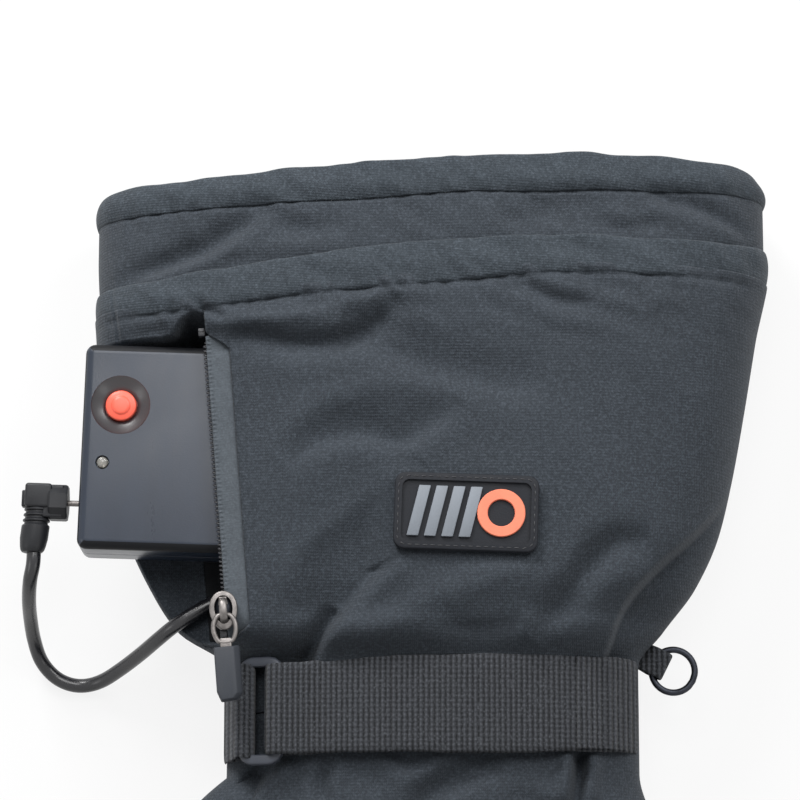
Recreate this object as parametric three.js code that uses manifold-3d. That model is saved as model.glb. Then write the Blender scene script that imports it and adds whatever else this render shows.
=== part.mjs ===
// One heated mitten for the left hand, palm down, with its battery pack drawn half out of the cuff pocket.
// X runs across the hand, Y from the fingertips to the cuff mouth, Z up from the table. Millimetres.
import * as THREE from 'three';
import { mergeVertices } from 'three/addons/utils/BufferGeometryUtils.js';
import Module from 'manifold-3d';

const wasm = await Module();
wasm.setup();

// Clearance between sewn layers and between touching pieces, and the reach of a cutting solid
const gap = 0.3;
const reach = 400;

// The bag of the mitten
const mitten = {
  seamHeight: 17,
  cuffLength: 152,
  cuffHalfWidth: 95,
  cuffHeight: 54,
  handLength: 195,
  handHalfWidth: 66,
  handHeight: 46,
  thumbLength: 94,
  thumbHalfWidth: 21,
  thumbHeight: 37,
  thumbRootX: -34,
  thumbRootY: -19.5,
  thumbAngle: 229,
  tipBulge: 5,
  mouthOverrun: 12,
  palmSeamY: -8,
};

// Rows of the cuff: shares of its length, of its half width left and right, and of its height, and the
// power that says how square its section is
const cuffRowShares = [
  [0, 0.593, 0.589, 0.796, 2.6],
  [0.092, 0.593, 0.589, 0.796, 2.6],
  [0.158, 0.737, 0.663, 0.935, 3.4],
  [0.237, 0.821, 0.758, 1, 4.4],
  [0.329, 0.889, 0.826, 1, 4.6],
  [0.434, 0.937, 0.868, 1, 4.6],
  [0.553, 0.968, 0.905, 1, 4.6],
  [0.684, 0.984, 0.942, 1, 4.4],
  [0.842, 1, 0.989, 0.981, 3.8],
  [1, 1, 0.989, 0.944, 3.4],
];

// Rows of the hand, from the wrist to the fingertips, in the same order
const handRowShares = [
  [0.077, 0.854, 0.848, 0.935, 2.6],
  [0.164, 0.909, 0.924, 0.978, 2.6],
  [0.282, 0.955, 0.97, 1, 2.6],
  [0.436, 0.985, 1, 0.978, 2.6],
  [0.59, 0.985, 1, 0.935, 2.6],
  [0.718, 0.939, 0.955, 0.87, 2.6],
  [0.821, 0.83, 0.85, 0.8, 2.6],
  [0.9, 0.66, 0.69, 0.73, 2.6],
  [0.96, 0.45, 0.48, 0.67, 2.6],
  [1, 0.25, 0.28, 0.62, 2.6],
];

// Rows of the thumb, from its root inside the hand to its tip
const thumbRowShares = [
  [0, 0.8, 0.8, 0.88, 2.4],
  [0.25, 0.98, 0.98, 0.97, 2.4],
  [0.5, 1, 1, 0.97, 2.4],
  [0.72, 0.95, 0.95, 0.92, 2.4],
  [0.89, 0.8, 0.8, 0.85, 2.4],
  [1, 0.57, 0.57, 0.77, 2.4],
];
const crownPower = 1 / 2.4;
const flatGain = 1.15;
const topSteps = 12;
const bottomSteps = 8;

// The layers of the bag, each from its outer to its inner depth below the outer face
const shellDepth = 1.2;
const lining = { outer: shellDepth + gap, thickness: 0.9 };
const wadding = { outer: lining.outer + lining.thickness + gap, thickness: 2.2 };
const heater = { outer: wadding.outer + wadding.thickness + gap, padThickness: 0.4, wireThickness: 0.8 };
const wireDepth = heater.outer + heater.padThickness + gap;
const fleece = { outer: wireDepth + heater.wireThickness + gap, thickness: 1.4 };
const bagEnds = { wadding: 108, fleece: 112, lining: 116.4 };

// The hems: the cuff's runs askew across the hand, the inner gaiter's is square
const hem = { centreY: 126.5, width: 8.4, extra: 0.7, slopeDegrees: 3.7 };
const gaiter = { endY: 151, hemWidth: 9.2, hemExtra: 0.6, thickness: 1.1 };

// The battery pack: three cells side by side and a strip of electronics along its outer end
const pack = {
  length: 64,
  width: 56,
  thickness: 19,
  fillet: 2.4,
  wall: 1.6,
  centreX: -63.2,
  centreY: 70.3,
  turnDegrees: -1.9,
  stripWidth: 15.5,
  cellGap: 1,
  contactRoom: 1.65,
  nippleDiameter: 5.4,
  nippleLength: 1,
  doorThickness: 1.6,
  doorMargin: 3,
};

// The hollow that the pack presses into the cuff, which under the zip is the pocket
const tub = {
  floorZ: 25.7,
  rightX: 30,
  lowY: 20,
  highClearance: 2.7,
  rightRamp: 12,
  lowRamp: 6.5,
  highRamp: 8,
  height: 35,
};
tub.highY = pack.centreY + pack.width / 2 + tub.highClearance;

// The zip: its tape's toothed edge runs straight from the lower end to the top end
const zip = {
  lowX: -55,
  lowY: 21,
  topClearance: 1.7,
  slopeShare: -0.0823,
  planeZ: 49.4,
  tapeWidth: 6,
  tapeThickness: 1,
  placketWidth: 26,
  placketRamp: 8,
  placketRise: 20,
  placketLeft: 6,
  placketLowEnd: 2,
  placketLowRamp: 4,
};
zip.topY = pack.centreY + pack.width / 2 + zip.topClearance;
zip.topX = zip.lowX + (zip.topY - zip.lowY) * zip.slopeShare;
zip.length = Math.hypot(zip.topX - zip.lowX, zip.topY - zip.lowY);
zip.turn = Math.atan2(zip.topX - zip.lowX, zip.topY - zip.lowY);
const teeth = { width: 1.5, thickness: 1.8, pitch: 2.2, toothShare: 0.55, toothDepthShare: 0.5, edgeGap: 0.1 };

const finish = {
  nylon: { color: 0x343940, roughness: 0.9, metalness: 0 },
  nylonHem: { color: 0x383d44, roughness: 0.92, metalness: 0 },
  leather: { color: 0x1d1f22, roughness: 0.6, metalness: 0 },
  lining: { color: 0x2a2d33, roughness: 0.8, metalness: 0 },
  fleece: { color: 0x3c3f45, roughness: 1, metalness: 0 },
  wadding: { color: 0xd8d8d4, roughness: 1, metalness: 0 },
  heaterFilm: { color: 0x6a4a2c, roughness: 0.6, metalness: 0 },
  wire: { color: 0x8a2a20, roughness: 0.5, metalness: 0 },
  tape: { color: 0x2f3238, roughness: 0.85, metalness: 0 },
  teeth: { color: 0x1c1d20, roughness: 0.5, metalness: 0 },
  nickel: { color: 0x8d8d8c, roughness: 0.3, metalness: 1 },
  rubber: { color: 0x33363b, roughness: 0.7, metalness: 0 },
  webbing: { color: 0x2b2c30, roughness: 0.95, metalness: 0 },
  plastic: { color: 0x202226, roughness: 0.5, metalness: 0 },
  darkMetal: { color: 0x17191b, roughness: 0.4, metalness: 1 },
  patchBase: { color: 0x26282d, roughness: 0.6, metalness: 0 },
  patchGrey: { color: 0x84888e, roughness: 0.6, metalness: 0 },
  patchOrange: { color: 0xe25a30, roughness: 0.6, metalness: 0 },
  packCase: { color: 0x17181a, roughness: 0.35, metalness: 0 },
  red: { color: 0xe8452c, roughness: 0.4, metalness: 0 },
  clear: { color: 0xe6e4de, roughness: 0.1, metalness: 0 },
  board: { color: 0x1f5a33, roughness: 0.5, metalness: 0 },
  cell: { color: 0x2a2a2c, roughness: 0.35, metalness: 0.4 },
  plug: { color: 0x1b1c1e, roughness: 0.5, metalness: 0 },
};

const mittenGroup = new THREE.Group();

// One named mesh in a parent group
function addPart(name, geometry, look, parent = mittenGroup) {
  const mesh = new THREE.Mesh(geometry, new THREE.MeshStandardMaterial(finish[look]));
  mesh.name = name;
  parent.add(mesh);
  return mesh;
}

// A geometry as a solid that can be joined and cut
function solid(geometry) {
  const bare = geometry.index ? geometry.toNonIndexed() : geometry.clone();
  bare.deleteAttribute('normal');
  bare.deleteAttribute('uv');
  const merged = mergeVertices(bare, 1e-4);
  const mesh = new wasm.Mesh({
    numProp: 3,
    vertProperties: new Float32Array(merged.attributes.position.array),
    triVerts: new Uint32Array(merged.index.array),
  });
  return new wasm.Manifold(mesh);
}

function geometryOf(body) {
  const mesh = body.getMesh();
  const geometry = new THREE.BufferGeometry();
  geometry.setAttribute('position', new THREE.BufferAttribute(new Float32Array(mesh.vertProperties), 3));
  geometry.setIndex(new THREE.BufferAttribute(new Uint32Array(mesh.triVerts), 1));
  const flat = geometry.toNonIndexed();
  flat.computeVertexNormals();
  return flat;
}

// The largest of the separate pieces that a cut leaves, so that no sliver stays behind
function mainPiece(body) {
  const pieces = body.decompose();
  return pieces.reduce((best, piece) => (piece.volume() > best.volume() ? piece : best));
}

// A box between two corners
function box(x0, x1, y0, y1, z0, z1) {
  const geometry = new THREE.BoxGeometry(x1 - x0, y1 - y0, z1 - z0);
  return geometry.translate((x0 + x1) / 2, (y0 + y1) / 2, (z0 + z1) / 2);
}

// A box with sloped sides, from its rectangle below to its rectangle above
function frustum(lower, upper, z0, z1) {
  const geometry = new THREE.BoxGeometry(1, 1, 1);
  const place = geometry.attributes.position;
  for (let i = 0; i < place.count; i += 1) {
    const side = place.getZ(i) > 0 ? upper : lower;
    const x = place.getX(i) > 0 ? side.x1 : side.x0;
    const y = place.getY(i) > 0 ? side.y1 : side.y0;
    place.setXYZ(i, x, y, place.getZ(i) > 0 ? z1 : z0);
  }
  return geometry;
}

// An upright prism over an outline
function prism(shape, z0, z1, curveSegments = 8) {
  const options = { depth: z1 - z0, bevelEnabled: false, curveSegments };
  return new THREE.ExtrudeGeometry(shape, options).translate(0, 0, z0);
}

function roundedRect(width, height, radius) {
  const x = width / 2;
  const y = height / 2;
  const shape = new THREE.Shape();
  shape.moveTo(-x + radius, -y);
  shape.lineTo(x - radius, -y);
  shape.absarc(x - radius, -y + radius, radius, -Math.PI / 2, 0);
  shape.lineTo(x, y - radius);
  shape.absarc(x - radius, y - radius, radius, 0, Math.PI / 2);
  shape.lineTo(-x + radius, y);
  shape.absarc(-x + radius, y - radius, radius, Math.PI / 2, Math.PI);
  shape.lineTo(-x, -y + radius);
  shape.absarc(-x + radius, -y + radius, radius, Math.PI, Math.PI * 1.5);
  return shape;
}

// An outline through points
function outline(points) {
  return new THREE.Shape(points.map(([x, y]) => new THREE.Vector2(x, y)));
}

// A solid through closed rings of points, with bulged ends
function loft(rings, startBulge, endBulge) {
  const count = rings[0].length;
  const points = rings.flat();
  const faces = [];
  for (let r = 0; r < rings.length - 1; r += 1) {
    for (let i = 0; i < count; i += 1) {
      const a = r * count + i;
      const b = r * count + ((i + 1) % count);
      faces.push(a, b + count, b, a, a + count, b + count);
    }
  }
  const middle = (ring) => ring.reduce((sum, p) => sum.add(p), new THREE.Vector3()).divideScalar(count);
  const first = points.push(middle(rings[0]).add(startBulge)) - 1;
  const last = points.push(middle(rings[rings.length - 1]).add(endBulge)) - 1;
  const top = (rings.length - 1) * count;
  for (let i = 0; i < count; i += 1) {
    faces.push(first, i, (i + 1) % count);
    faces.push(last, top + ((i + 1) % count), top + i);
  }
  const geometry = new THREE.BufferGeometry().setFromPoints(points);
  geometry.setIndex(faces);
  return geometry;
}

// One section of the bag: a crown over the side seam and a flat underside, drawn in by a depth
function sectionRing(y, left, right, height, power, depth) {
  const half = (left + right) / 2 - depth;
  const middle = (right - left) / 2;
  const crown = (s) => Math.pow(Math.max(0, 1 - Math.pow(Math.abs(s), power)), crownPower);
  const ring = [];
  for (let i = 0; i <= topSteps; i += 1) {
    const s = -Math.cos((Math.PI * i) / topSteps);
    const rise = (height - depth - mitten.seamHeight) * crown(s);
    ring.push(new THREE.Vector3(middle + half * s, y, mitten.seamHeight + rise));
  }
  for (let i = 1; i < bottomSteps; i += 1) {
    const s = Math.cos((Math.PI * i) / bottomSteps);
    const drop = (mitten.seamHeight - depth) * Math.min(1, flatGain * crown(s));
    ring.push(new THREE.Vector3(middle + half * s, y, mitten.seamHeight - drop));
  }
  return ring;
}

// The whole bag drawn in by a depth: cuff and hand in one loft, joined with the thumb
const thumbTurn = THREE.MathUtils.degToRad(mitten.thumbAngle + 90);

function handSolid(depth) {
  const rows = [];
  const rowAt = (y, share, halfWidth, height) => {
    rows.push(sectionRing(y, share[1] * halfWidth, share[2] * halfWidth, share[3] * height, share[4], depth));
  };
  const mouthRow = cuffRowShares[cuffRowShares.length - 1];
  rowAt(mitten.cuffLength + mitten.mouthOverrun, mouthRow, mitten.cuffHalfWidth, mitten.cuffHeight);
  for (const share of [...cuffRowShares].reverse()) {
    rowAt(share[0] * mitten.cuffLength, share, mitten.cuffHalfWidth, mitten.cuffHeight);
  }
  for (const share of handRowShares) {
    rowAt(-share[0] * (mitten.handLength - depth), share, mitten.handHalfWidth, mitten.handHeight);
  }
  const tip = new THREE.Vector3(0, -mitten.tipBulge, 0);
  return solid(loft(rows, new THREE.Vector3(), tip));
}

function thumbSolid(depth) {
  const rows = thumbRowShares.map((share) => {
    const y = -share[0] * (mitten.thumbLength - depth);
    const half = mitten.thumbHalfWidth;
    return sectionRing(y, share[1] * half, share[2] * half, share[3] * mitten.thumbHeight, share[4], depth);
  });
  const geometry = loft(rows, new THREE.Vector3(), new THREE.Vector3(0, -mitten.tipBulge, 0));
  geometry.rotateZ(thumbTurn);
  return solid(geometry.translate(mitten.thumbRootX, mitten.thumbRootY, 0));
}

// The hollow under the pack, wider and deeper by a depth
function tubSolid(depth) {
  const lower = { x0: -reach, x1: tub.rightX + depth, y0: tub.lowY - depth, y1: tub.highY + depth };
  const upper = {
    x0: -reach,
    x1: lower.x1 + tub.rightRamp,
    y0: lower.y0 - tub.lowRamp,
    y1: lower.y1 + tub.highRamp,
  };
  return solid(frustum(lower, upper, tub.floorZ - depth, tub.floorZ - depth + tub.height));
}

// Zip places are told as (across, along): across from the toothed edge to the right, along from its lower end
function inZipFrame(geometry) {
  return geometry.rotateZ(-zip.turn).translate(zip.lowX, zip.lowY, 0);
}

// The raised ground of the zip, which holds its tape level over the pack
function placketSolid(depth) {
  const upper = {
    x0: -zip.placketLeft + depth,
    x1: zip.placketWidth - depth,
    y0: -zip.placketLowEnd + depth,
    y1: zip.length + zip.tapeWidth - depth,
  };
  const lower = {
    x0: upper.x0,
    x1: upper.x1 + zip.placketRamp,
    y0: upper.y0 - zip.placketLowRamp,
    y1: upper.y1 + zip.placketRamp,
  };
  const top = zip.planeZ - depth;
  return solid(inZipFrame(frustum(lower, upper, top - zip.placketRise, top)));
}

// Cutting halves and boxes
const above = (z) => solid(box(-reach, reach, -reach, reach, z, reach));
const below = (z) => solid(box(-reach, reach, -reach, reach, -reach, z));
const cuffSide = (y) => solid(box(-reach, reach, y, reach, -reach, reach));
const handSide = (y) => solid(box(-reach, reach, -reach, y, -reach, reach));
const rightOfZip = (across) => solid(inZipFrame(box(across, reach, -reach, reach, -reach, reach)));
const leftOfZip = (across) => solid(inZipFrame(box(-reach, across, -reach, reach, -reach, reach)));

// Everything on the hand's side of the cuff hem's askew line, shifted along by some length
function handSideOfHem(shift) {
  const geometry = box(-reach, reach, -reach, 0, -reach, reach);
  geometry.rotateZ(THREE.MathUtils.degToRad(hem.slopeDegrees));
  return solid(geometry.translate(0, hem.centreY + shift, 0));
}

const half = gap / 2;
const bagAt = (depth) => handSolid(depth).add(thumbSolid(depth));
const armAt = (depth) => handSolid(depth).subtract(tubSolid(depth));
const pressedAt = (depth) => bagAt(depth).subtract(tubSolid(depth));

// Hand and thumb panels, split at the side seam and at the wrist
const handShell = handSolid(0).subtract(handSolid(shellDepth)).subtract(thumbSolid(shellDepth));
const seamTop = mitten.seamHeight + half;
const seamBottom = mitten.seamHeight - half;
const handBack = handShell.intersect(handSide(-half)).intersect(above(seamTop));
const handPalm = handShell.intersect(handSide(mitten.palmSeamY - half)).intersect(below(seamBottom));
addPart('hand_back_panel', geometryOf(mainPiece(handBack)), 'nylon');
addPart('hand_palm_panel', geometryOf(mainPiece(handPalm)), 'leather');

const thumbShell = thumbSolid(0).subtract(thumbSolid(shellDepth)).subtract(handSolid(-gap));
addPart('thumb_panel', geometryOf(mainPiece(thumbShell)), 'nylon');

// Cuff panels: the palm side, the strip left of the zip that the pack presses down, and the pocket front
const cuffEnd = handSideOfHem(-hem.width - gap);
const cuffPart = (body, startY = 0) => body.intersect(cuffSide(startY + half)).intersect(cuffEnd);
const tapeRoom = { across: zip.tapeWidth + gap, end: zip.length + gap };
const rightTapeRoom = solid(inZipFrame(box(-reach, tapeRoom.across, -gap, tapeRoom.end, tub.floorZ, reach)));
const leftTapeRoom = solid(inZipFrame(box(-tapeRoom.across, reach, -gap, tapeRoom.end, 0, reach)));

const palmSlab = handSolid(0).subtract(handSolid(shellDepth)).intersect(below(seamBottom));
addPart('cuff_palm_panel', geometryOf(mainPiece(cuffPart(palmSlab, mitten.palmSeamY))), 'nylon');

const frontSlab = handSolid(0).add(placketSolid(0))
  .subtract(handSolid(shellDepth).add(placketSolid(shellDepth)))
  .intersect(above(seamTop));
const front = cuffPart(frontSlab).intersect(rightOfZip(half)).subtract(rightTapeRoom);
addPart('pocket_front_panel', geometryOf(mainPiece(front)), 'nylon');

const sideSlab = armAt(0).subtract(armAt(shellDepth)).intersect(above(seamTop));
const side = cuffPart(sideSlab).intersect(leftOfZip(-half));
addPart('cuff_side_panel', geometryOf(mainPiece(side.subtract(leftTapeRoom))), 'nylon');

const hemSlab = handSolid(-hem.extra).subtract(handSolid(shellDepth)).intersect(above(0));
const hemRing = hemSlab.intersect(handSideOfHem(0)).subtract(handSideOfHem(-hem.width));
addPart('cuff_hem', geometryOf(mainPiece(hemRing)), 'nylonHem');

// The inner gaiter that stands out of the cuff, and its hem
const gaiterHemY = gaiter.endY - gaiter.hemWidth;
const gaiterSlab = handSolid(lining.outer).subtract(handSolid(lining.outer + gaiter.thickness));
const gaiterBody = gaiterSlab.intersect(cuffSide(bagEnds.lining + gap)).intersect(handSide(gaiterHemY - gap));
addPart('gaiter', geometryOf(mainPiece(gaiterBody)), 'nylon');

const gaiterHemSlab = handSolid(lining.outer - gaiter.hemExtra).subtract(handSolid(lining.outer + gaiter.thickness));
const gaiterHem = gaiterHemSlab.intersect(cuffSide(gaiterHemY)).intersect(handSide(gaiter.endY));
addPart('gaiter_hem', geometryOf(mainPiece(gaiterHem)), 'nylonHem');

// The pocket's back wall, then the wadding and the fleece lining of the whole bag
const liningSlab = armAt(lining.outer).subtract(armAt(lining.outer + lining.thickness)).intersect(above(seamTop));
const pocketBack = liningSlab.intersect(cuffSide(half)).intersect(handSide(bagEnds.lining));
addPart('pocket_back_lining', geometryOf(mainPiece(pocketBack)), 'lining');

function bagLayer(layer, endY) {
  return mainPiece(pressedAt(layer.outer).subtract(pressedAt(layer.outer + layer.thickness)).intersect(handSide(endY)));
}
addPart('wadding', geometryOf(bagLayer(wadding, bagEnds.wadding)), 'wadding');
addPart('fleece_lining', geometryOf(bagLayer(fleece, bagEnds.fleece)), 'fleece');

// The heating pad on the back of the hand, its wire in runs, and the lead that comes from the pocket
const pad = {
  left: -36,
  right: 38,
  nearY: -42,
  farY: -150,
  corner: 8,
  wireMargin: 7,
  wireWidth: 1.8,
  wireRuns: 8,
  leadWidth: 2.6,
  leadEndX: -40,
  leadEndY: 8,
};

// A flat ribbon of one width along corners, as an outline
function ribbon(corners, width) {
  const sides = [[], []];
  corners.forEach((corner, i) => {
    const before = corners[Math.max(0, i - 1)];
    const after = corners[Math.min(corners.length - 1, i + 1)];
    const into = new THREE.Vector2(corner[0] - before[0], corner[1] - before[1]);
    const out = new THREE.Vector2(after[0] - corner[0], after[1] - corner[1]);
    if (into.length() === 0) into.copy(out);
    if (out.length() === 0) out.copy(into);
    const normalIn = new THREE.Vector2(-into.y, into.x).normalize();
    const normalOut = new THREE.Vector2(-out.y, out.x).normalize();
    const miter = normalIn.clone().add(normalOut).normalize();
    const stretch = width / 2 / miter.dot(normalIn);
    sides[0].push([corner[0] + miter.x * stretch, corner[1] + miter.y * stretch]);
    sides[1].unshift([corner[0] - miter.x * stretch, corner[1] - miter.y * stretch]);
  });
  return outline([...sides[0], ...sides[1]]);
}

const handLayer = (outer, thickness) => handSolid(outer).subtract(handSolid(outer + thickness))
  .intersect(above(mitten.seamHeight));
const padShape = roundedRect(pad.right - pad.left, pad.nearY - pad.farY, pad.corner);
const padPrism = prism(padShape, 0, reach)
  .translate((pad.left + pad.right) / 2, (pad.nearY + pad.farY) / 2, 0);
const padBody = handLayer(heater.outer, heater.padThickness).intersect(solid(padPrism));
addPart('heating_pad', geometryOf(mainPiece(padBody)), 'heaterFilm');

const wireCorners = [];
const wireStep = (pad.nearY - pad.farY - pad.wireMargin * 2) / (pad.wireRuns - 1);
for (let run = 0; run < pad.wireRuns; run += 1) {
  const y = pad.nearY - pad.wireMargin - run * wireStep;
  const ends = [pad.left + pad.wireMargin, pad.right - pad.wireMargin];
  if (run % 2) ends.reverse();
  wireCorners.push([ends[0], y], [ends[1], y]);
}
const wirePrism = solid(prism(ribbon(wireCorners, pad.wireWidth), 0, reach));
addPart('heating_wire', geometryOf(mainPiece(handLayer(wireDepth, heater.wireThickness).intersect(wirePrism))), 'wire');

const leadX = wireCorners[0][0];
const leadStartY = wireCorners[0][1] + pad.wireWidth / 2 + gap;
const leadCorners = [[leadX, leadStartY], [leadX, pad.nearY + pad.corner], [pad.leadEndX, pad.leadEndY]];
const leadPrism = solid(prism(ribbon(leadCorners, pad.leadWidth), 0, reach));
const leadLayer = armAt(wireDepth).subtract(armAt(wireDepth + heater.wireThickness)).intersect(above(mitten.seamHeight));
addPart('heater_lead', geometryOf(mainPiece(leadLayer.intersect(leadPrism))), 'wire');

// The zip: level right tape and its teeth, and left ones that follow the pressed side panel
const zipGroup = new THREE.Group();
zipGroup.position.set(zip.lowX, zip.lowY, 0);
zipGroup.rotation.z = -zip.turn;
mittenGroup.add(zipGroup);
const tapeUnder = zip.planeZ - zip.tapeThickness;
addPart('zip_tape_right', box(0, zip.tapeWidth, 0, zip.length, tapeUnder, zip.planeZ), 'tape', zipGroup);

// A toothed strip along the zip: teeth stand out to one side of a cord of steady width
function teethOutline(length, direction) {
  const depth = teeth.width * teeth.toothDepthShare;
  const count = Math.floor(length / teeth.pitch);
  const tooth = teeth.pitch * teeth.toothShare;
  const points = [[0, 0], [0, length]];
  for (let i = count - 1; i >= 0; i -= 1) {
    const start = i * teeth.pitch;
    points.push([direction * depth, start + tooth], [direction * teeth.width, start + tooth]);
    points.push([direction * teeth.width, start], [direction * depth, start]);
  }
  points[2][1] = Math.min(points[2][1], length);
  return outline(points);
}
const teethLow = zip.planeZ - (zip.tapeThickness + teeth.thickness) / 2;
const rightTeeth = prism(teethOutline(zip.length, -1), teethLow, teethLow + teeth.thickness);
addPart('zip_teeth_right', rightTeeth.translate(-teeth.edgeGap, 0, 0), 'teeth', zipGroup);

// Stops at the ends of the right teeth
const stop = { length: 2.2, width: 2.6, thickness: 2.4 };
const stopX = -teeth.edgeGap - teeth.width / 2;
const stopZ = zip.planeZ - zip.tapeThickness / 2;
function stopAt(y0) {
  const z0 = stopZ - stop.thickness / 2;
  return box(stopX - stop.width / 2, -teeth.edgeGap, y0, y0 + stop.length, z0, z0 + stop.thickness);
}
addPart('zip_top_stop', stopAt(zip.length + gap), 'nickel', zipGroup);
addPart('zip_bottom_stop', stopAt(-stop.length - gap), 'nickel', zipGroup);

// The left tape lies in the side panel's cut-out and keeps its layer, with the teeth on its inner edge
const leftEdge = -half - teeth.width - gap;
const leftTapeCut = solid(inZipFrame(box(-zip.tapeWidth, leftEdge, 0, zip.length, 0, reach)));
const leftTape = mainPiece(armAt(0).subtract(armAt(shellDepth)).intersect(above(seamTop)).intersect(leftTapeCut));
addPart('zip_tape_left', geometryOf(leftTape), 'tape');
const leftTeethCut = solid(inZipFrame(box(leftEdge + gap, -half, 0, zip.length, 0, reach)));
const leftTeeth = mainPiece(armAt(0).subtract(armAt(shellDepth)).intersect(above(seamTop)).intersect(leftTeethCut));
addPart('zip_teeth_left', geometryOf(leftTeeth), 'teeth');

// The slider rides the right teeth: a wing above and below, joined by a post left of the teeth
const slider = {
  centreY: 4.6,
  length: 9.6,
  width: 7.4,
  noseWidth: 4.4,
  wing: 1.2,
  clear: 0.35,
  post: 1.2,
  postShift: 1.9,
  bridgeLength: 6,
  bridgeWidth: 2.2,
  bridgeWall: 0.9,
  tunnel: 2,
  pinDiameter: 1.2,
};
const sliderX = -teeth.edgeGap - teeth.width - slider.clear - slider.post / 2 + slider.postShift;
const wingOutline = outline([
  [-slider.noseWidth / 2, -slider.length / 2],
  [slider.noseWidth / 2, -slider.length / 2],
  [slider.width / 2, slider.length / 4],
  [slider.width / 2, slider.length / 2],
  [-slider.width / 2, slider.length / 2],
  [-slider.width / 2, slider.length / 4],
]);
const wingUpperZ = teethLow + teeth.thickness + slider.clear;
const wingLowerZ = teethLow - slider.clear;
const bridgeBase = wingUpperZ + slider.wing;
const bridgeTop = bridgeBase + slider.tunnel + slider.bridgeWall;
const tunnelHalf = slider.bridgeLength / 2 - slider.bridgeWall;
let sliderBody = solid(prism(wingOutline, wingUpperZ, bridgeBase))
  .add(solid(prism(wingOutline, wingLowerZ - slider.wing, wingLowerZ)))
  .add(solid(box(-slider.postShift - slider.post / 2, -slider.postShift + slider.post / 2,
    -slider.length / 4, slider.length / 2, wingLowerZ - slider.wing, bridgeBase)))
  .add(solid(box(-slider.bridgeWidth / 2, slider.bridgeWidth / 2, -slider.bridgeLength / 2,
    slider.bridgeLength / 2, wingUpperZ, bridgeTop)));
sliderBody = sliderBody.subtract(solid(box(-slider.width, slider.width, -tunnelHalf, tunnelHalf,
  bridgeBase, bridgeBase + slider.tunnel)));
const sliderGroup = new THREE.Group();
sliderGroup.position.set(sliderX, slider.centreY, 0);
zipGroup.add(sliderGroup);
addPart('zip_slider', geometryOf(sliderBody), 'nickel', sliderGroup);

// The puller: two arms on a pin through the bridge, a metal tongue, and a rubber grip moulded on it
const puller = {
  armWidth: 1.3,
  armThickness: 1.2,
  armGap: 0.35,
  armLength: 6.4,
  tongueWidth: 3,
  tongueLength: 8,
  gripStart: 2.2,
  gripLength: 14.6,
  gripWidth: 6.4,
  gripThickness: 3.4,
  gripCorner: 1.2,
};
const pinY = -tunnelHalf + slider.pinDiameter / 2 + gap;
const pinZ = bridgeBase + slider.tunnel / 2;
const armInner = slider.bridgeWidth / 2 + puller.armGap;
const armOuter = armInner + puller.armWidth;
const armLow = pinZ - puller.armThickness / 2;
const armHigh = armLow + puller.armThickness;
const armEnd = pinY - puller.armLength;
const armStart = pinY + slider.pinDiameter / 2;
const pin = new THREE.CylinderGeometry(slider.pinDiameter / 2, slider.pinDiameter / 2, armOuter * 2, 10);
pin.rotateZ(Math.PI / 2).translate(0, pinY, pinZ);
const pullerBody = solid(pin)
  .add(solid(box(armInner, armOuter, armEnd, armStart, armLow, armHigh)))
  .add(solid(box(-armOuter, -armInner, armEnd, armStart, armLow, armHigh)))
  .add(solid(box(-armOuter, armOuter, armEnd - puller.armWidth, armEnd, armLow, armHigh)))
  .add(solid(box(-puller.tongueWidth / 2, puller.tongueWidth / 2, armEnd - puller.tongueLength, armEnd,
    armLow, armHigh)));
addPart('zip_puller', geometryOf(pullerBody), 'nickel', sliderGroup);

const gripTop = armEnd - puller.gripStart;
const gripMiddle = gripTop - puller.gripLength / 2;
const gripOuter = prism(roundedRect(puller.gripWidth, puller.gripLength, puller.gripCorner),
  pinZ - puller.gripThickness / 2, pinZ + puller.gripThickness / 2, 3).translate(0, gripMiddle, 0);
const tongueRoom = box(-puller.tongueWidth / 2 - gap, puller.tongueWidth / 2 + gap,
  armEnd - puller.tongueLength - gap, gripTop + reach, armLow - gap, armHigh + gap);
addPart('zip_grip', geometryOf(solid(gripOuter).subtract(solid(tongueRoom))), 'rubber', sliderGroup);

// The wrist strap: it leaves the right seam, passes the buckle's bar and folds back over itself
const strap = {
  width: 25.4,
  centreY: 0,
  thickness: 1.7,
  layerGap: 0.35,
  startX: 54.6,
  foldX: -40.8,
  foldRun: 12,
  endX: 53,
};

// The crown of the wrist from left to right, raised by some height
const wristRow = cuffRowShares[0];
function wristCrown(rise) {
  const left = wristRow[1] * mitten.cuffHalfWidth;
  const right = wristRow[2] * mitten.cuffHalfWidth;
  const ring = sectionRing(0, left, right, wristRow[3] * mitten.cuffHeight, wristRow[4], -rise);
  return ring.slice(0, topSteps + 1);
}

function wristTop(x, rise) {
  const crown = wristCrown(rise);
  const index = Math.min(topSteps, Math.max(1, crown.findIndex((p) => p.x >= x)));
  const a = crown[index - 1];
  const b = crown[index];
  return a.z + ((b.z - a.z) * (x - a.x)) / (b.x - a.x);
}

// A line over the wrist between two places across it, raised by some height, through the crown's corners
function wristLine(fromX, toX, rise) {
  const low = Math.min(fromX, toX);
  const high = Math.max(fromX, toX);
  const corners = wristCrown(rise).filter((p) => p.x > low && p.x < high).map((p) => [p.x, p.z]);
  if (fromX > toX) corners.reverse();
  return [[fromX, wristTop(fromX, rise)], ...corners, [toX, wristTop(toX, rise)]];
}

// A strip standing on edge in X and Z, pushed along Y to the strap's width
function acrossWrist(shape, width) {
  const geometry = new THREE.ExtrudeGeometry(shape, { depth: width, bevelEnabled: false, curveSegments: 6 });
  return geometry.rotateX(Math.PI / 2).translate(0, strap.centreY + width / 2, 0);
}
const foldSteps = 6;
const buckle = {
  bar: 2.8,
  barGap: 0.25,
  width: 12.4,
  length: 29,
  corner: 3.2,
  tiltDegrees: 22,
};

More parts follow.
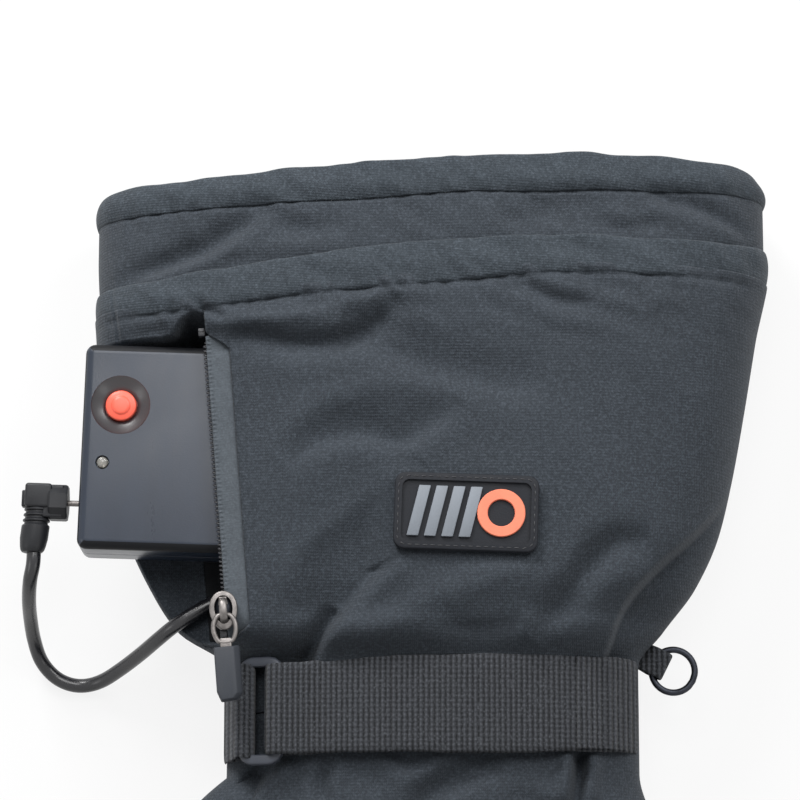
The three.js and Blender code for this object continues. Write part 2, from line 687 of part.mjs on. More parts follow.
// Points round part of a circle
function arc(x, z, radius, fromDegrees, toDegrees, steps) {
  const points = [];
  for (let i = 0; i <= steps; i += 1) {
    const angle = THREE.MathUtils.degToRad(fromDegrees + ((toDegrees - fromDegrees) * i) / steps);
    points.push([x + radius * Math.cos(angle), z + radius * Math.sin(angle)]);
  }
  return points;
}

// The strap's outline: along the wrist, round the buckle's bar, and back over itself to the right
const firstRise = gap;
const secondRise = firstRise + strap.thickness + strap.layerGap;
const foldInner = (buckle.bar / 2) * Math.SQRT2 + buckle.barGap;
const foldOuter = foldInner + strap.thickness;
const foldZ = wristTop(strap.foldX, firstRise) + foldOuter;
const runIn = strap.foldX + strap.foldRun;
const strapOutline = outline([
  ...wristLine(strap.startX, runIn, firstRise),
  ...arc(strap.foldX, foldZ, foldOuter, 270, 90, foldSteps),
  ...wristLine(runIn, strap.endX, secondRise + strap.thickness),
  ...wristLine(strap.endX, runIn, secondRise),
  ...arc(strap.foldX, foldZ, foldInner, 90, 270, foldSteps),
  ...wristLine(runIn, strap.startX, firstRise + strap.thickness),
]);
addPart('wrist_strap', acrossWrist(strapOutline, strap.width), 'webbing');

// The hook tab sewn under the strap's free end, which stands out past it
const hookTab = { length: 15, thickness: 0.9, width: 24 };
const hookRise = secondRise + strap.thickness + gap;
const hookOutline = outline([
  ...wristLine(strap.endX - hookTab.length, strap.endX - gap, hookRise),
  ...wristLine(strap.endX - gap, strap.endX - hookTab.length, hookRise + hookTab.thickness),
]);
addPart('strap_end_stitching', acrossWrist(hookOutline, hookTab.width), 'webbing');

// The buckle: a plastic ring, tilted down the side of the wrist, with the strap's fold round its right bar
const buckleTilt = THREE.MathUtils.degToRad(buckle.tiltDegrees);
const buckleGroup = new THREE.Group();
buckleGroup.position.set(strap.foldX, strap.centreY, foldZ);
buckleGroup.rotation.y = -buckleTilt;
mittenGroup.add(buckleGroup);
const ringWidth = buckle.width - buckle.bar;
const buckleOuter = prism(roundedRect(buckle.width, buckle.length, buckle.corner), -buckle.bar / 2, buckle.bar / 2, 3);
const buckleHole = box(-ringWidth / 2 + buckle.bar / 2, ringWidth / 2 - buckle.bar / 2,
  -buckle.length / 2 + buckle.bar / 2, buckle.length / 2 - buckle.bar / 2, -buckle.bar, buckle.bar);
const buckleBody = solid(buckleOuter.translate(-ringWidth / 2, 0, 0))
  .subtract(solid(buckleHole.translate(-ringWidth / 2, 0, 0)));
addPart('strap_buckle', geometryOf(buckleBody), 'plastic', buckleGroup);

// The anchor webbing: sewn flat from the left seam, with an eye round the buckle's other bar
const anchor = { thickness: 2.5, eyeWall: 1.1, lowX: -56.1, highX: -50.8, outerHighX: -55.2, outerLowX: -58.4 };
const anchorBarX = strap.foldX - ringWidth * Math.cos(buckleTilt);
const anchorBarZ = foldZ - ringWidth * Math.sin(buckleTilt);
const anchorShape = outline([
  ...wristLine(anchor.lowX, anchor.highX, gap),
  ...arc(anchorBarX, anchorBarZ, foldInner + anchor.eyeWall, -50, 190, foldSteps * 2),
  ...wristLine(anchor.outerHighX, anchor.outerLowX, gap + anchor.thickness),
]);
anchorShape.holes.push(outline(arc(anchorBarX, anchorBarZ, foldInner, 360, 30, foldSteps * 2)));
addPart('strap_anchor', acrossWrist(anchorShape, strap.width - gap), 'webbing');

// The tether ring on a folded tape from the right side seam
const ring = { radius: 5.9, wire: 0.9, centreX: 65.6, centreY: 13.4, turnDegrees: -26.6 };
const tab = { width: 7.6, thickness: 0.8, room: 3.6, foldX: -2.6, backX: -8.4, seamX: -14 };
const ringGroup = new THREE.Group();
ringGroup.position.set(ring.centreX, ring.centreY, mitten.seamHeight);
ringGroup.rotation.z = THREE.MathUtils.degToRad(ring.turnDegrees);
mittenGroup.add(ringGroup);
addPart('tether_ring', new THREE.TorusGeometry(ring.radius, ring.wire, 8, 28), 'darkMetal', ringGroup);

// The tape's fold in X and Z: round at the ring, closed again before the seam
const tabRoom = tab.room / 2;
const tabOuter = tabRoom + tab.thickness;
const tabFold = tab.foldX - tabRoom;
const tabShape = outline([
  [tab.seamX, -tab.thickness],
  [tab.backX, -tab.thickness],
  [tab.backX + tabRoom, -tabOuter],
  ...arc(tabFold, 0, tabOuter, -90, 90, foldSteps),
  [tab.backX + tabRoom, tabOuter],
  [tab.backX, tab.thickness],
  [tab.seamX, tab.thickness],
]);
tabShape.holes.push(outline([
  ...arc(tabFold, 0, tabRoom, 90, -90, foldSteps),
  [tab.backX + tabRoom, -tabRoom],
  [tab.backX, 0],
  [tab.backX + tabRoom, tabRoom],
]));
const tabGeometry = new THREE.ExtrudeGeometry(tabShape, { depth: tab.width, bevelEnabled: false });
tabGeometry.rotateX(Math.PI / 2).translate(0, tab.width / 2, 0);
ringGroup.updateMatrix();
const tabBody = solid(tabGeometry.applyMatrix4(ringGroup.matrix)).subtract(handSolid(-gap));
addPart('tether_tab', geometryOf(mainPiece(tabBody)), 'webbing');

// The moulded patch: a rimmed base, slanted grey bars and an orange roundel in its field
const patch = {
  width: 38.4,
  height: 20.6,
  corner: 3,
  thickness: 2.2,
  rim: 1.5,
  recess: 0.9,
  centreX: 8.4,
  centreY: 51.2,
  turnDegrees: -2,
  bars: 4,
  barWidthShare: 0.0876,
  barPitchShare: 0.13,
  barSlantShare: 0.0847,
  ornamentRise: 0.7,
  roundelShare: 0.181,
  roundelHoleShare: 0.56,
  margin: 2,
  endShare: 0.0565,
};
const patchGroup = new THREE.Group();
patchGroup.position.set(patch.centreX, patch.centreY, mitten.cuffHeight + gap);
patchGroup.rotation.z = THREE.MathUtils.degToRad(patch.turnDegrees);
mittenGroup.add(patchGroup);
const fieldWidth = patch.width - patch.rim * 2;
const fieldHeight = patch.height - patch.rim * 2;
const fieldZ = patch.thickness - patch.recess;
const patchPlate = solid(prism(roundedRect(patch.width, patch.height, patch.corner), 0, patch.thickness, 4));
const patchField = solid(prism(roundedRect(fieldWidth, fieldHeight, patch.corner - patch.rim / 2), fieldZ,
  patch.thickness * 2, 4));
addPart('patch_base', geometryOf(patchPlate.subtract(patchField)), 'patchBase', patchGroup);

// The bars stand on one thin strip, so that they are one moulding
const ornamentHeight = fieldHeight - patch.margin * 2;
const ornamentZ = fieldZ + gap;
const endMargin = fieldWidth * patch.endShare;
const barsLeft = -fieldWidth / 2 + endMargin;
const barWidth = fieldWidth * patch.barWidthShare;
const barPitch = fieldWidth * patch.barPitchShare;
const barSlant = fieldWidth * patch.barSlantShare;
const barsWidth = barPitch * (patch.bars - 1) + barWidth;
const strip = patch.ornamentRise / 2;
let bars = solid(box(barsLeft + barSlant / 2, barsLeft + barsWidth + barSlant / 2,
  -strip, strip, ornamentZ, ornamentZ + patch.ornamentRise));
for (let i = 0; i < patch.bars; i += 1) {
  const x = barsLeft + i * barPitch;
  const bar = outline([
    [x, -ornamentHeight / 2],
    [x + barWidth, -ornamentHeight / 2],
    [x + barWidth + barSlant, ornamentHeight / 2],
    [x + barSlant, ornamentHeight / 2],
  ]);
  bars = bars.add(solid(prism(bar, ornamentZ, ornamentZ + patch.ornamentRise)));
}
addPart('patch_bars', geometryOf(bars), 'patchGrey', patchGroup);

const roundelRadius = fieldWidth * patch.roundelShare;
const roundelHole = roundelRadius * patch.roundelHoleShare;
const roundel = new THREE.Shape().absarc(0, 0, roundelRadius, 0, Math.PI * 2);
roundel.holes.push(new THREE.Path().absarc(0, 0, roundelHole, 0, Math.PI * 2));
const roundelX = fieldWidth / 2 - endMargin - roundelRadius;
addPart('patch_roundel', prism(roundel, ornamentZ, ornamentZ + patch.ornamentRise, 12).translate(roundelX, 0, 0),
  'patchOrange', patchGroup);

// The battery pack lies on the floor of its hollow. Places on it are told from its middle, Z from its back
const packGroup = new THREE.Group();
packGroup.position.set(pack.centreX, pack.centreY, tub.floorZ + gap);
packGroup.rotation.z = THREE.MathUtils.degToRad(pack.turnDegrees);
mittenGroup.add(packGroup);
const packLeft = -pack.length / 2;
const packRight = pack.length / 2;
const packLow = -pack.width / 2;
const packHigh = pack.width / 2;

const button = {
  fromEnd: 10.2,
  y: 11.3,
  dishRadius: 7.9,
  dishDepth: 2,
  radius: 4.15,
  proud: 0.3,
  faceRadius: 2.5,
  faceRise: 0.5,
  travel: 1.2,
  flange: 1.1,
  flangeThickness: 0.8,
  bore: 0.25,
};
const led = { fromEnd: 6, y: -4.6, radius: 1.5, topRadius: 1, flange: 0.6, proud: 0.3 };
button.x = packLeft + button.fromEnd;
led.x = packLeft + led.fromEnd;
const jack = { y: -14.6, z: 9.5, size: 9, length: 11, bore: 1.6, wellShift: 2.2 };

// The case: an outline with rounded ends pushed along its length, then its side edges are cut round too
function roundedBlock(length, width, height, radius) {
  const shape = roundedRect(length, width, radius);
  const upright = solid(prism(shape, 0, height, 3));
  const endShape = new THREE.Shape();
  const y = width / 2;
  endShape.moveTo(-y, 0);
  endShape.lineTo(y, 0);
  endShape.lineTo(y, height - radius);
  endShape.absarc(y - radius, height - radius, radius, 0, Math.PI / 2);
  endShape.lineTo(-y + radius, height);
  endShape.absarc(-y + radius, height - radius, radius, Math.PI / 2, Math.PI);
  const along = new THREE.ExtrudeGeometry(endShape, { depth: length, bevelEnabled: false, curveSegments: 4 });
  along.translate(0, 0, -length / 2).rotateX(Math.PI / 2).rotateZ(Math.PI / 2);
  const sideShape = new THREE.Shape();
  const x = length / 2;
  sideShape.moveTo(-x, 0);
  sideShape.lineTo(x, 0);
  sideShape.lineTo(x, height - radius);
  sideShape.absarc(x - radius, height - radius, radius, 0, Math.PI / 2);
  sideShape.lineTo(-x + radius, height);
  sideShape.absarc(-x + radius, height - radius, radius, Math.PI / 2, Math.PI);
  const across = new THREE.ExtrudeGeometry(sideShape, { depth: width, bevelEnabled: false, curveSegments: 4 });
  across.rotateX(Math.PI / 2).translate(0, width / 2, 0);
  return upright.intersect(solid(along)).intersect(solid(across));
}

const caseOuter = roundedBlock(pack.length, pack.width, pack.thickness, pack.fillet);
const innerLow = packLow + pack.wall;
const innerHigh = packHigh - pack.wall;
const innerLeft = packLeft + pack.wall;
const innerRight = packRight - pack.wall;
const innerTop = pack.thickness - pack.wall;
const stripX = packLeft + pack.stripWidth;
const backFloor = pack.doorThickness + gap;
const cellRoom = box(stripX + pack.wall, innerRight, innerLow, innerHigh, -gap, innerTop);
const stripRoom = box(innerLeft, stripX, innerLow, innerHigh, backFloor, innerTop);

// The door's track is open at the pack's left end, so the door slides out there
const doorLow = packLow + pack.doorMargin;
const doorHigh = packHigh - pack.doorMargin;
const doorRight = innerRight - gap;
const doorTrack = box(packLeft - reach, doorRight + gap, doorLow - gap, doorHigh + gap, -gap, backFloor);

// A straight or tapering round solid that stands on a place
function roundPost(x, y, z0, z1, lowRadius, highRadius, sides = 20) {
  const geometry = new THREE.CylinderGeometry(highRadius, lowRadius, z1 - z0, sides);
  return geometry.rotateX(Math.PI / 2).translate(x, y, (z0 + z1) / 2);
}

const dishFloor = pack.thickness - button.dishDepth;
const dishCollar = roundPost(button.x, button.y, innerTop - pack.wall, innerTop + gap,
  button.dishRadius, button.dishRadius);
const dish = roundPost(button.x, button.y, dishFloor, pack.thickness + gap, button.radius + button.bore,
  button.dishRadius + gap, 28);
const buttonBore = roundPost(button.x, button.y, 0, pack.thickness + gap, button.radius + button.bore,
  button.radius + button.bore);
const ledBore = roundPost(led.x, led.y, backFloor, pack.thickness + gap, led.radius + button.bore,
  led.radius + button.bore, 12);
const jackBore = new THREE.CylinderGeometry(jack.bore, jack.bore, pack.stripWidth, 14);
jackBore.rotateZ(Math.PI / 2).translate(packLeft, jack.y, jack.z);
const caseBody = caseOuter
  .subtract(solid(cellRoom))
  .subtract(solid(stripRoom))
  .subtract(solid(doorTrack))
  .add(solid(dishCollar))
  .subtract(solid(dish))
  .subtract(solid(buttonBore))
  .subtract(solid(ledBore))
  .subtract(solid(jackBore));
addPart('pack_case', geometryOf(mainPiece(caseBody)), 'packCase', packGroup);

const door = prism(roundedRect(doorRight - packLeft, doorHigh - doorLow, pack.wall), 0, pack.doorThickness, 3);
door.translate((doorRight + packLeft) / 2, 0, 0);
addPart('battery_door', door, 'packCase', packGroup);

// The button: a cap with a raised face, held in by a flange under the dish
const buttonTop = pack.thickness - button.proud;
const flangeTop = innerTop - pack.wall - gap;
const capProfile = [
  [0, flangeTop - button.flangeThickness],
  [button.radius + button.flange, flangeTop - button.flangeThickness],
  [button.radius + button.flange, flangeTop],
  [button.radius, flangeTop],
  [button.radius, buttonTop - button.faceRise],
  [button.faceRadius, buttonTop - button.faceRise],
  [button.faceRadius - button.bore, buttonTop],
  [0, buttonTop],
].map(([r, z]) => new THREE.Vector2(r, z));
const cap = new THREE.LatheGeometry(capProfile, 24).rotateX(Math.PI / 2).translate(button.x, button.y, 0);
addPart('power_button', cap, 'red', packGroup);

const ledProfile = [
  [0, innerTop - gap - led.flange],
  [led.radius + led.flange, innerTop - gap - led.flange],
  [led.radius + led.flange, innerTop - gap],
  [led.radius, innerTop - gap],
  [led.radius, pack.thickness - led.proud],
  [led.topRadius, pack.thickness],
  [0, pack.thickness + led.proud],
].map(([r, z]) => new THREE.Vector2(r, z));
const ledLens = new THREE.LatheGeometry(ledProfile, 12).rotateX(Math.PI / 2).translate(led.x, led.y, 0);
addPart('indicator_led', ledLens, 'clear', packGroup);

// The circuit board under the button, its switch and the power socket
const board = { z: 5.4, thickness: 1.2, margin: 0.3, length: 30, footSize: 2 };
const boardTop = board.z + board.thickness;
const boardLeft = innerLeft + board.margin;
const boardRight = stripX - board.margin;
const boardHigh = innerHigh - board.margin;
const boardPlate = solid(box(boardLeft, boardRight, boardHigh - board.length, boardHigh, board.z, boardTop));
const boardFoot = (x, y) => solid(box(x, x + board.footSize, y, y + board.footSize, backFloor + gap, board.z));
const boardBody = boardPlate
  .add(boardFoot(boardLeft, boardHigh - board.footSize))
  .add(boardFoot(boardRight - board.footSize, boardHigh - board.length));
addPart('circuit_board', geometryOf(boardBody), 'board', packGroup);

const tact = { size: 6, height: 3.4, stemRadius: 1.7 };
const stemTop = flangeTop - button.flangeThickness - button.travel - gap;
const tactLow = boardTop + gap;
const tactBody = solid(box(button.x - tact.size / 2, button.x + tact.size / 2, button.y - tact.size / 2,
  button.y + tact.size / 2, tactLow, tactLow + tact.height))
  .add(solid(roundPost(button.x, button.y, tactLow, stemTop, tact.stemRadius, tact.stemRadius, 10)));
addPart('push_switch', geometryOf(tactBody), 'plastic', packGroup);

const jackLeft = innerLeft + gap;
const jackBlock = box(jackLeft, jackLeft + jack.length, jack.y - jack.size / 2, jack.y + jack.size / 2,
  backFloor + gap, jack.z + jack.size / 2);
const jackWell = new THREE.CylinderGeometry(jack.bore, jack.bore, jack.length * 2, 14);
jackWell.rotateZ(Math.PI / 2).translate(jackLeft - jack.wellShift, jack.y, jack.z);
addPart('power_socket', geometryOf(solid(jackBlock).subtract(solid(jackWell))), 'plastic', packGroup);

// Three cells side by side between their contacts, as thick as their pitch and the case allow
const cellPitch = (innerRight - stripX - pack.wall) / 3;
const cellDiameter = Math.min(cellPitch - pack.cellGap, innerTop - backFloor - gap * 3);
const cellLength = innerHigh - innerLow - pack.contactRoom * 2;
const cellZ = backFloor + gap + cellDiameter / 2;
for (let i = 0; i < 3; i += 1) {
  const x = stripX + pack.wall + cellPitch * (i + 0.5);
  const flip = i % 2 ? -1 : 1;
  const radius = cellDiameter / 2;
  const cellHalf = cellLength / 2;
  const profile = [
    [0, -cellHalf],
    [radius, -cellHalf],
    [radius, cellHalf - pack.nippleLength],
    [pack.nippleDiameter / 2, cellHalf - pack.nippleLength],
    [pack.nippleDiameter / 2, cellHalf],
    [0, cellHalf],
  ].map(([r, z]) => new THREE.Vector2(r, z * flip));
  if (flip < 0) profile.reverse();
  const cell = new THREE.LatheGeometry(profile, 20).translate(x, 0, cellZ);
  addPart(`battery_cell_${i + 1}`, cell, 'cell', packGroup);
}

// A contact strip at each end of the cells, with a dome for each of them
const contact = { thickness: 0.5, domeRadius: 2.6, height: 8 };
function contactStrip(side) {
  const y = side * (innerHigh - gap - contact.thickness / 2);
  const strip = box(stripX + pack.wall + gap, innerRight - gap, y - contact.thickness / 2, y + contact.thickness / 2,
    cellZ - contact.height / 2, cellZ + contact.height / 2);
  const reachIn = innerHigh - gap - cellLength / 2 - gap;
  let body = solid(strip);
  for (let i = 0; i < 3; i += 1) {
    const x = stripX + pack.wall + cellPitch * (i + 0.5);
    const dome = new THREE.CylinderGeometry(contact.domeRadius / 2, contact.domeRadius, reachIn, 12);
    if (side > 0) dome.rotateX(Math.PI);
    dome.translate(x, side * (innerHigh - gap - reachIn / 2), cellZ);
    body = body.add(solid(dome));
  }
  return geometryOf(body);
}
addPart('cell_contacts_near', contactStrip(-1), 'nickel', packGroup);
addPart('cell_contacts_far', contactStrip(1), 'nickel', packGroup);

// The right-angled plug in the socket, told in the pack's frame, and its metal barrel
const plug = {
  barrelRadius: 1.2,
  barrelIn: 9,
  barrelOut: 3.4,
  headRadius: 4.9,
  headLength: 7.4,
  bodyX: -44,
  bodyHigh: 5.3,
  bodyLow: -12.4,
  bodyRadius: 3.95,
  endRadius: 3.5,
  crown: 1.2,
  ribDepth: 0.6,
  ribs: 3,
  ribsLow: -6,
  ribPitch: 1.7,
};
const plugGroup = new THREE.Group();
plugGroup.position.copy(packGroup.position);
plugGroup.rotation.copy(packGroup.rotation);
mittenGroup.add(plugGroup);
const headRight = packLeft - plug.barrelOut;
const headLeft = headRight - plug.headLength;
function barrelAlong(radius, x0, x1, sides) {
  const geometry = new THREE.CylinderGeometry(radius, radius, x1 - x0, sides);
  return geometry.rotateZ(Math.PI / 2).translate((x0 + x1) / 2, jack.y, jack.z);
}
const plugProfile = [[0, plug.bodyLow], [plug.endRadius, plug.bodyLow], [plug.bodyRadius, plug.bodyLow + plug.crown]];
for (let i = 0; i < plug.ribs; i += 1) {
  const y = plug.ribsLow + i * plug.ribPitch;
  plugProfile.push([plug.bodyRadius, y], [plug.bodyRadius - plug.ribDepth, y + gap]);
  plugProfile.push([plug.bodyRadius - plug.ribDepth, y + gap * 2], [plug.bodyRadius, y + gap * 3]);
}
plugProfile.push([plug.bodyRadius, plug.bodyHigh - plug.crown], [plug.endRadius, plug.bodyHigh], [0, plug.bodyHigh]);
const plugBody = new THREE.LatheGeometry(plugProfile.map(([r, y]) => new THREE.Vector2(r, y)), 18);
plugBody.translate(plug.bodyX, jack.y, jack.z);
const plugWhole = solid(plugBody).add(solid(barrelAlong(plug.headRadius, headLeft, headRight, 20)))
  .subtract(solid(barrelAlong(plug.barrelRadius + gap, headRight - plug.crown - gap, headRight + gap, 14)));
addPart('plug_body', geometryOf(plugWhole), 'plug', plugGroup);
addPart('plug_barrel', barrelAlong(plug.barrelRadius, headRight - plug.crown, packLeft + plug.barrelIn, 14), 'nickel',
  plugGroup);

// The cord: down from the plug, round on the table and up over the cuff's edge into the pocket
const cordRadius = 1.95;
const cordRoute = [
  [-108.2, 44.1, 35.5],
  [-108.4, 40.2, 35.3],
  [-109.4, 36.2, 32.6],
  [-110.3, 32, 25.5],
  [-110.7, 28, 16.5],
  [-110.4, 23.2, 8.6],
  [-108.8, 18, 4],
  [-105.4, 13.9, 2.4],
  [-101.2, 11.6, 2.3],
  [-96.6, 11.1, 2.4],
  [-91.6, 12.3, 4.2],
  [-86, 15, 9.5],
  [-80.2, 18.2, 16.8],
  [-75, 21.4, 23.8],
  [-70.4, 24.4, 28.2],
  [-65, 27.8, 29],
  [-59.5, 30.8, 28.8],
  [-54.4, 32.6, 28.7],
  [-50.4, 33.4, 28.7],
];
const cordCurve = new THREE.CatmullRomCurve3(cordRoute.map(([x, y, z]) => new THREE.Vector3(x, y, z)));
const cordSection = new THREE.Shape().absarc(0, 0, cordRadius, 0, Math.PI * 2);
const cordOptions = { steps: 34, extrudePath: cordCurve, curveSegments: 4, bevelEnabled: false };
addPart('power_cord', new THREE.ExtrudeGeometry(cordSection, cordOptions), 'plug');

// The strain relief sewn to the pocket's back wall, where the cord goes through to the lead
const relief = { length: 6.4, width: 6.4, top: 31.6, turnDegrees: 11 };
const reliefBlock = box(gap, relief.length, -relief.width / 2, relief.width / 2,
  tub.floorZ - lining.outer + gap, relief.top);
reliefBlock.rotateZ(THREE.MathUtils.degToRad(relief.turnDegrees));
const cordEnd = cordRoute[cordRoute.length - 1];
addPart('cord_strain_relief', reliefBlock.translate(cordEnd[0], cordEnd[1], 0), 'rubber');

export default mittenGroup;
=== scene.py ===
"""Heated mitten, palm down, with its battery pack drawn half out of the cuff pocket. Lengths below are millimetres
in the CAD frame: X across the hand, Y from the fingertips to the cuff mouth, Z up from the table."""
import math

import bpy
import bmesh
import numpy as np
from mathutils import Matrix, Vector


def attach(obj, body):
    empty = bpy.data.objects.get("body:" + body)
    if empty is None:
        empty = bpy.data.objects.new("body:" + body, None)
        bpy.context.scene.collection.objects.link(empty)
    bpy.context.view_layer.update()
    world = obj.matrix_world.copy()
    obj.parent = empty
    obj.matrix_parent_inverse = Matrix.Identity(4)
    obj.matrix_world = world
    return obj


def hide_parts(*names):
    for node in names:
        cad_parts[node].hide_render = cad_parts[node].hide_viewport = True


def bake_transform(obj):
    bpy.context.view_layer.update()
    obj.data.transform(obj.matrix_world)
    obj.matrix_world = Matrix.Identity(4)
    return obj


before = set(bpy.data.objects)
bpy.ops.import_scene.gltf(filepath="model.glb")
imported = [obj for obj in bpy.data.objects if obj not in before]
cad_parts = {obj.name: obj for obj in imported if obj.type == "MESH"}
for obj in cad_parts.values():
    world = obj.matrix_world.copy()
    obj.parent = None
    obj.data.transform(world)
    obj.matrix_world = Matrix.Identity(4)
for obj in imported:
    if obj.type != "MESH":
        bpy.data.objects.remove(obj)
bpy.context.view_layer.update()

MM = 0.001
TURN = 2 * math.pi
rng = np.random.default_rng(7)


def in_scene(name, data):
    obj = bpy.data.objects.new(name, data)
    bpy.context.scene.collection.objects.link(obj)
    return obj


# Camera: the photograph looks down at 79 degrees from the fingers' side
CAMERA_TILT = math.radians(11)
CAMERA_DISTANCE = 1000.0
VIEW_TARGET = Vector((-9.2, 83.6, 45.0))
VIEW_FIELD = 216.0
SENSOR = 36

camera = in_scene("camera", bpy.data.cameras.new("camera"))
camera.location = (VIEW_TARGET + CAMERA_DISTANCE * Vector((0, -math.sin(CAMERA_TILT), math.cos(CAMERA_TILT)))) * MM
camera.rotation_euler = (CAMERA_TILT, 0, 0)
camera.data.sensor_width = SENSOR
camera.data.lens = SENSOR * CAMERA_DISTANCE / VIEW_FIELD
camera.data.clip_start, camera.data.clip_end = 0.01, 20
bpy.context.scene.camera = camera


# Mesh helpers
def mesh_object(name, points, faces):
    mesh = bpy.data.meshes.new(name)
    mesh.from_pydata([(x * MM, y * MM, z * MM) for x, y, z in points], [], faces)
    mesh.update()
    mesh.shade_smooth()
    return in_scene(name, mesh)


def grid_faces(rows, columns, closed=False, ring=False):
    """Quads between rows of points. Closed joins the last column to the first, ring the last row to the first."""
    return [(r * columns + c, r * columns + (c + 1) % columns,
             (r + 1) % rows * columns + (c + 1) % columns, (r + 1) % rows * columns + c)
            for r in range(rows if ring else rows - 1) for c in range(columns if closed else columns - 1)]


def grid_object(name, grid, closed=False, flip=False, ring=False, capped=False):
    """A sheet, tube or ring through an array of rows x columns x 3."""
    rows, columns = grid.shape[:2]
    faces = grid_faces(rows, columns, closed, ring)
    if capped:
        faces.append(tuple(range(columns))[::-1])
        faces.append(tuple((rows - 1) * columns + i for i in range(columns)))
    if flip:
        faces = [face[::-1] for face in faces]
    return mesh_object(name, grid.reshape(-1, 3).tolist(), faces)


def bake(obj, kind, **settings):
    """A modifier becomes the mesh."""
    modifier = obj.modifiers.new(kind.lower(), kind)
    for key, value in settings.items():
        setattr(modifier, key, value)
    bpy.context.view_layer.update()
    mesh = bpy.data.meshes.new_from_object(obj.evaluated_get(bpy.context.evaluated_depsgraph_get()))
    obj.modifiers.clear()
    obj.data = mesh
    mesh.shade_smooth()
    return obj


def rounded(obj, width, segments, degrees=50):
    return bake(obj, "BEVEL", width=width * MM, segments=segments, limit_method="ANGLE",
                angle_limit=math.radians(degrees))


def outward(obj):
    """Normals that all point out of the mesh."""
    work = bmesh.new()
    work.from_mesh(obj.data)
    bmesh.ops.recalc_face_normals(work, faces=work.faces)
    work.to_mesh(obj.data)
    work.free()
    obj.data.shade_smooth()
    return obj


def sharpen(obj, degrees):
    """Flat where the shape has edges, smooth elsewhere."""
    obj.data.shade_smooth()
    obj.data.set_sharp_from_angle(angle=math.radians(degrees))
    return obj


def shift(x, y, z=0.0):
    return Matrix.Translation(Vector((x, y, z)) * MM)


def turned(x, y, z, degrees):
    return shift(x, y, z) @ Matrix.Rotation(math.radians(degrees), 4, "Z")


def place(obj, matrix):
    obj.data.transform(matrix)
    return obj


def spline(points, steps):
    """Points of a Catmull-Rom curve through the given ones, some steps for each span."""
    places = np.array(points, float)
    places = np.vstack([2 * places[0] - places[1], places, 2 * places[-1] - places[-2]])
    t = np.linspace(0, 1, steps, endpoint=False)[:, None]
    spans = [0.5 * (2 * b + (c - a) * t + (2 * a - 5 * b + 4 * c - d) * t ** 2 + (3 * b - a - 3 * c + d) * t ** 3)
             for a, b, c, d in zip(places, places[1:], places[2:], places[3:])]
    return np.vstack(spans + [places[-2:-1]])


def circle(count):
    """Angles once round."""
    return np.linspace(0, TURN, count, endpoint=False)


def tube_points(path, radius, sides):
    """Rings round a path, each turned as little as can be from the one before."""
    path = np.array(path, float)
    tangents = np.gradient(path, axis=0)
    tangents /= np.linalg.norm(tangents, axis=1)[:, None]
    side = np.cross(tangents[0], (0.3, 0.1, 1.0))
    rings = []
    for spot, tangent in zip(path, tangents):
        side = side - tangent * side.dot(tangent)
        side /= np.linalg.norm(side)
        other = np.cross(tangent, side)
        rings.append([spot + radius * (side * math.cos(a) + other * math.sin(a)) for a in circle(sides)])
    return np.array(rings)


def tube_object(name, path, radius, sides):
    return grid_object(name, tube_points(path, radius, sides), closed=True, capped=True)


# Materials
class Nodes:
    """The nodes of a material or the world. Each call adds one and gives its output."""

    def __init__(self, owner):
        owner.use_nodes = True
        self.owner, self.tree = owner, owner.node_tree
        self.shader = self.tree.nodes.get("Principled BSDF")

    def put(self, socket, value):
        if isinstance(value, bpy.types.NodeSocket):
            self.tree.links.new(value, socket)
        else:
            socket.default_value = value

    def add(self, kind, inputs, output=0, **settings):
        node = self.tree.nodes.new("ShaderNode" + kind)
        for key, value in settings.items():
            setattr(node, key, value)
        for key, value in inputs.items():
            self.put(node.inputs[key], value)
        return node.outputs[output]

    def places(self, stretch=(1, 1, 1), turn=0.0):
        where = self.add("TexCoord", {}, "Object")
        return self.add("Mapping", {"Vector": where, "Scale": stretch, "Rotation": (0, 0, turn)})

    def noise(self, places, scale, detail, roughness):
        return self.add("TexNoise", {"Vector": places, "Scale": scale, "Detail": detail, "Roughness": roughness}, "Fac")

    def wave(self, places, pitch, axis, distortion):
        """Bands a pitch apart, in millimetres."""
        return self.add("TexWave", {"Vector": places, "Scale": TURN / (20 * pitch * MM), "Distortion": distortion,
                                    "Detail": 1.0, "Detail Scale": 2.0}, "Fac", bands_direction=axis)

    def ramp(self, value, low, high, start=0.0, end=1.0):
        """A value's range from low to high, spread from a start to an end."""
        return self.add("MapRange", {"Value": value, "From Min": low, "From Max": high, "To Min": start, "To Max": end})

    def mix(self, factor, a, b):
        return self.add("Mix", {0: factor, 6: a, 7: b}, 2, data_type="RGBA")

    def sum(self, a, b, operation="ADD"):
        return self.add("Math", {0: a, 1: b}, operation=operation)

    def bump(self, height, distance, **under):
        normal = self.add("Bump", {"Height": height, "Distance": distance * MM, "Strength": 1.0, **under})
        self.put(self.shader.inputs["Normal"], normal)
        return normal

    def seen(self):
        """1 for what the camera sees, also in metal and through glass."""
        camera, glossy, through = (self.add("LightPath", {}, f"Is {ray} Ray")
                                   for ray in ("Camera", "Glossy", "Transmission"))
        return self.sum(self.sum(camera, glossy, "MAXIMUM"), through, "MAXIMUM")

    def show(self, factor, plain, bright):
        """What the surface shows: the plain shader, or the bright one where the factor is 1."""
        mixed = self.add("MixShader", {0: factor, 1: plain, 2: bright})
        output = next(node for node in self.tree.nodes if node.name.endswith("Output"))
        self.put(output.inputs["Surface"], mixed)

    def finish(self, colour, roughness, **others):
        """The shader's colour, roughness and other values; an underscore stands for a space in a socket's name."""
        for key, value in {"Base_Color": colour, "Roughness": roughness, **others}.items():
            self.put(self.shader.inputs[key.replace("_", " ")], value)
        return self.owner


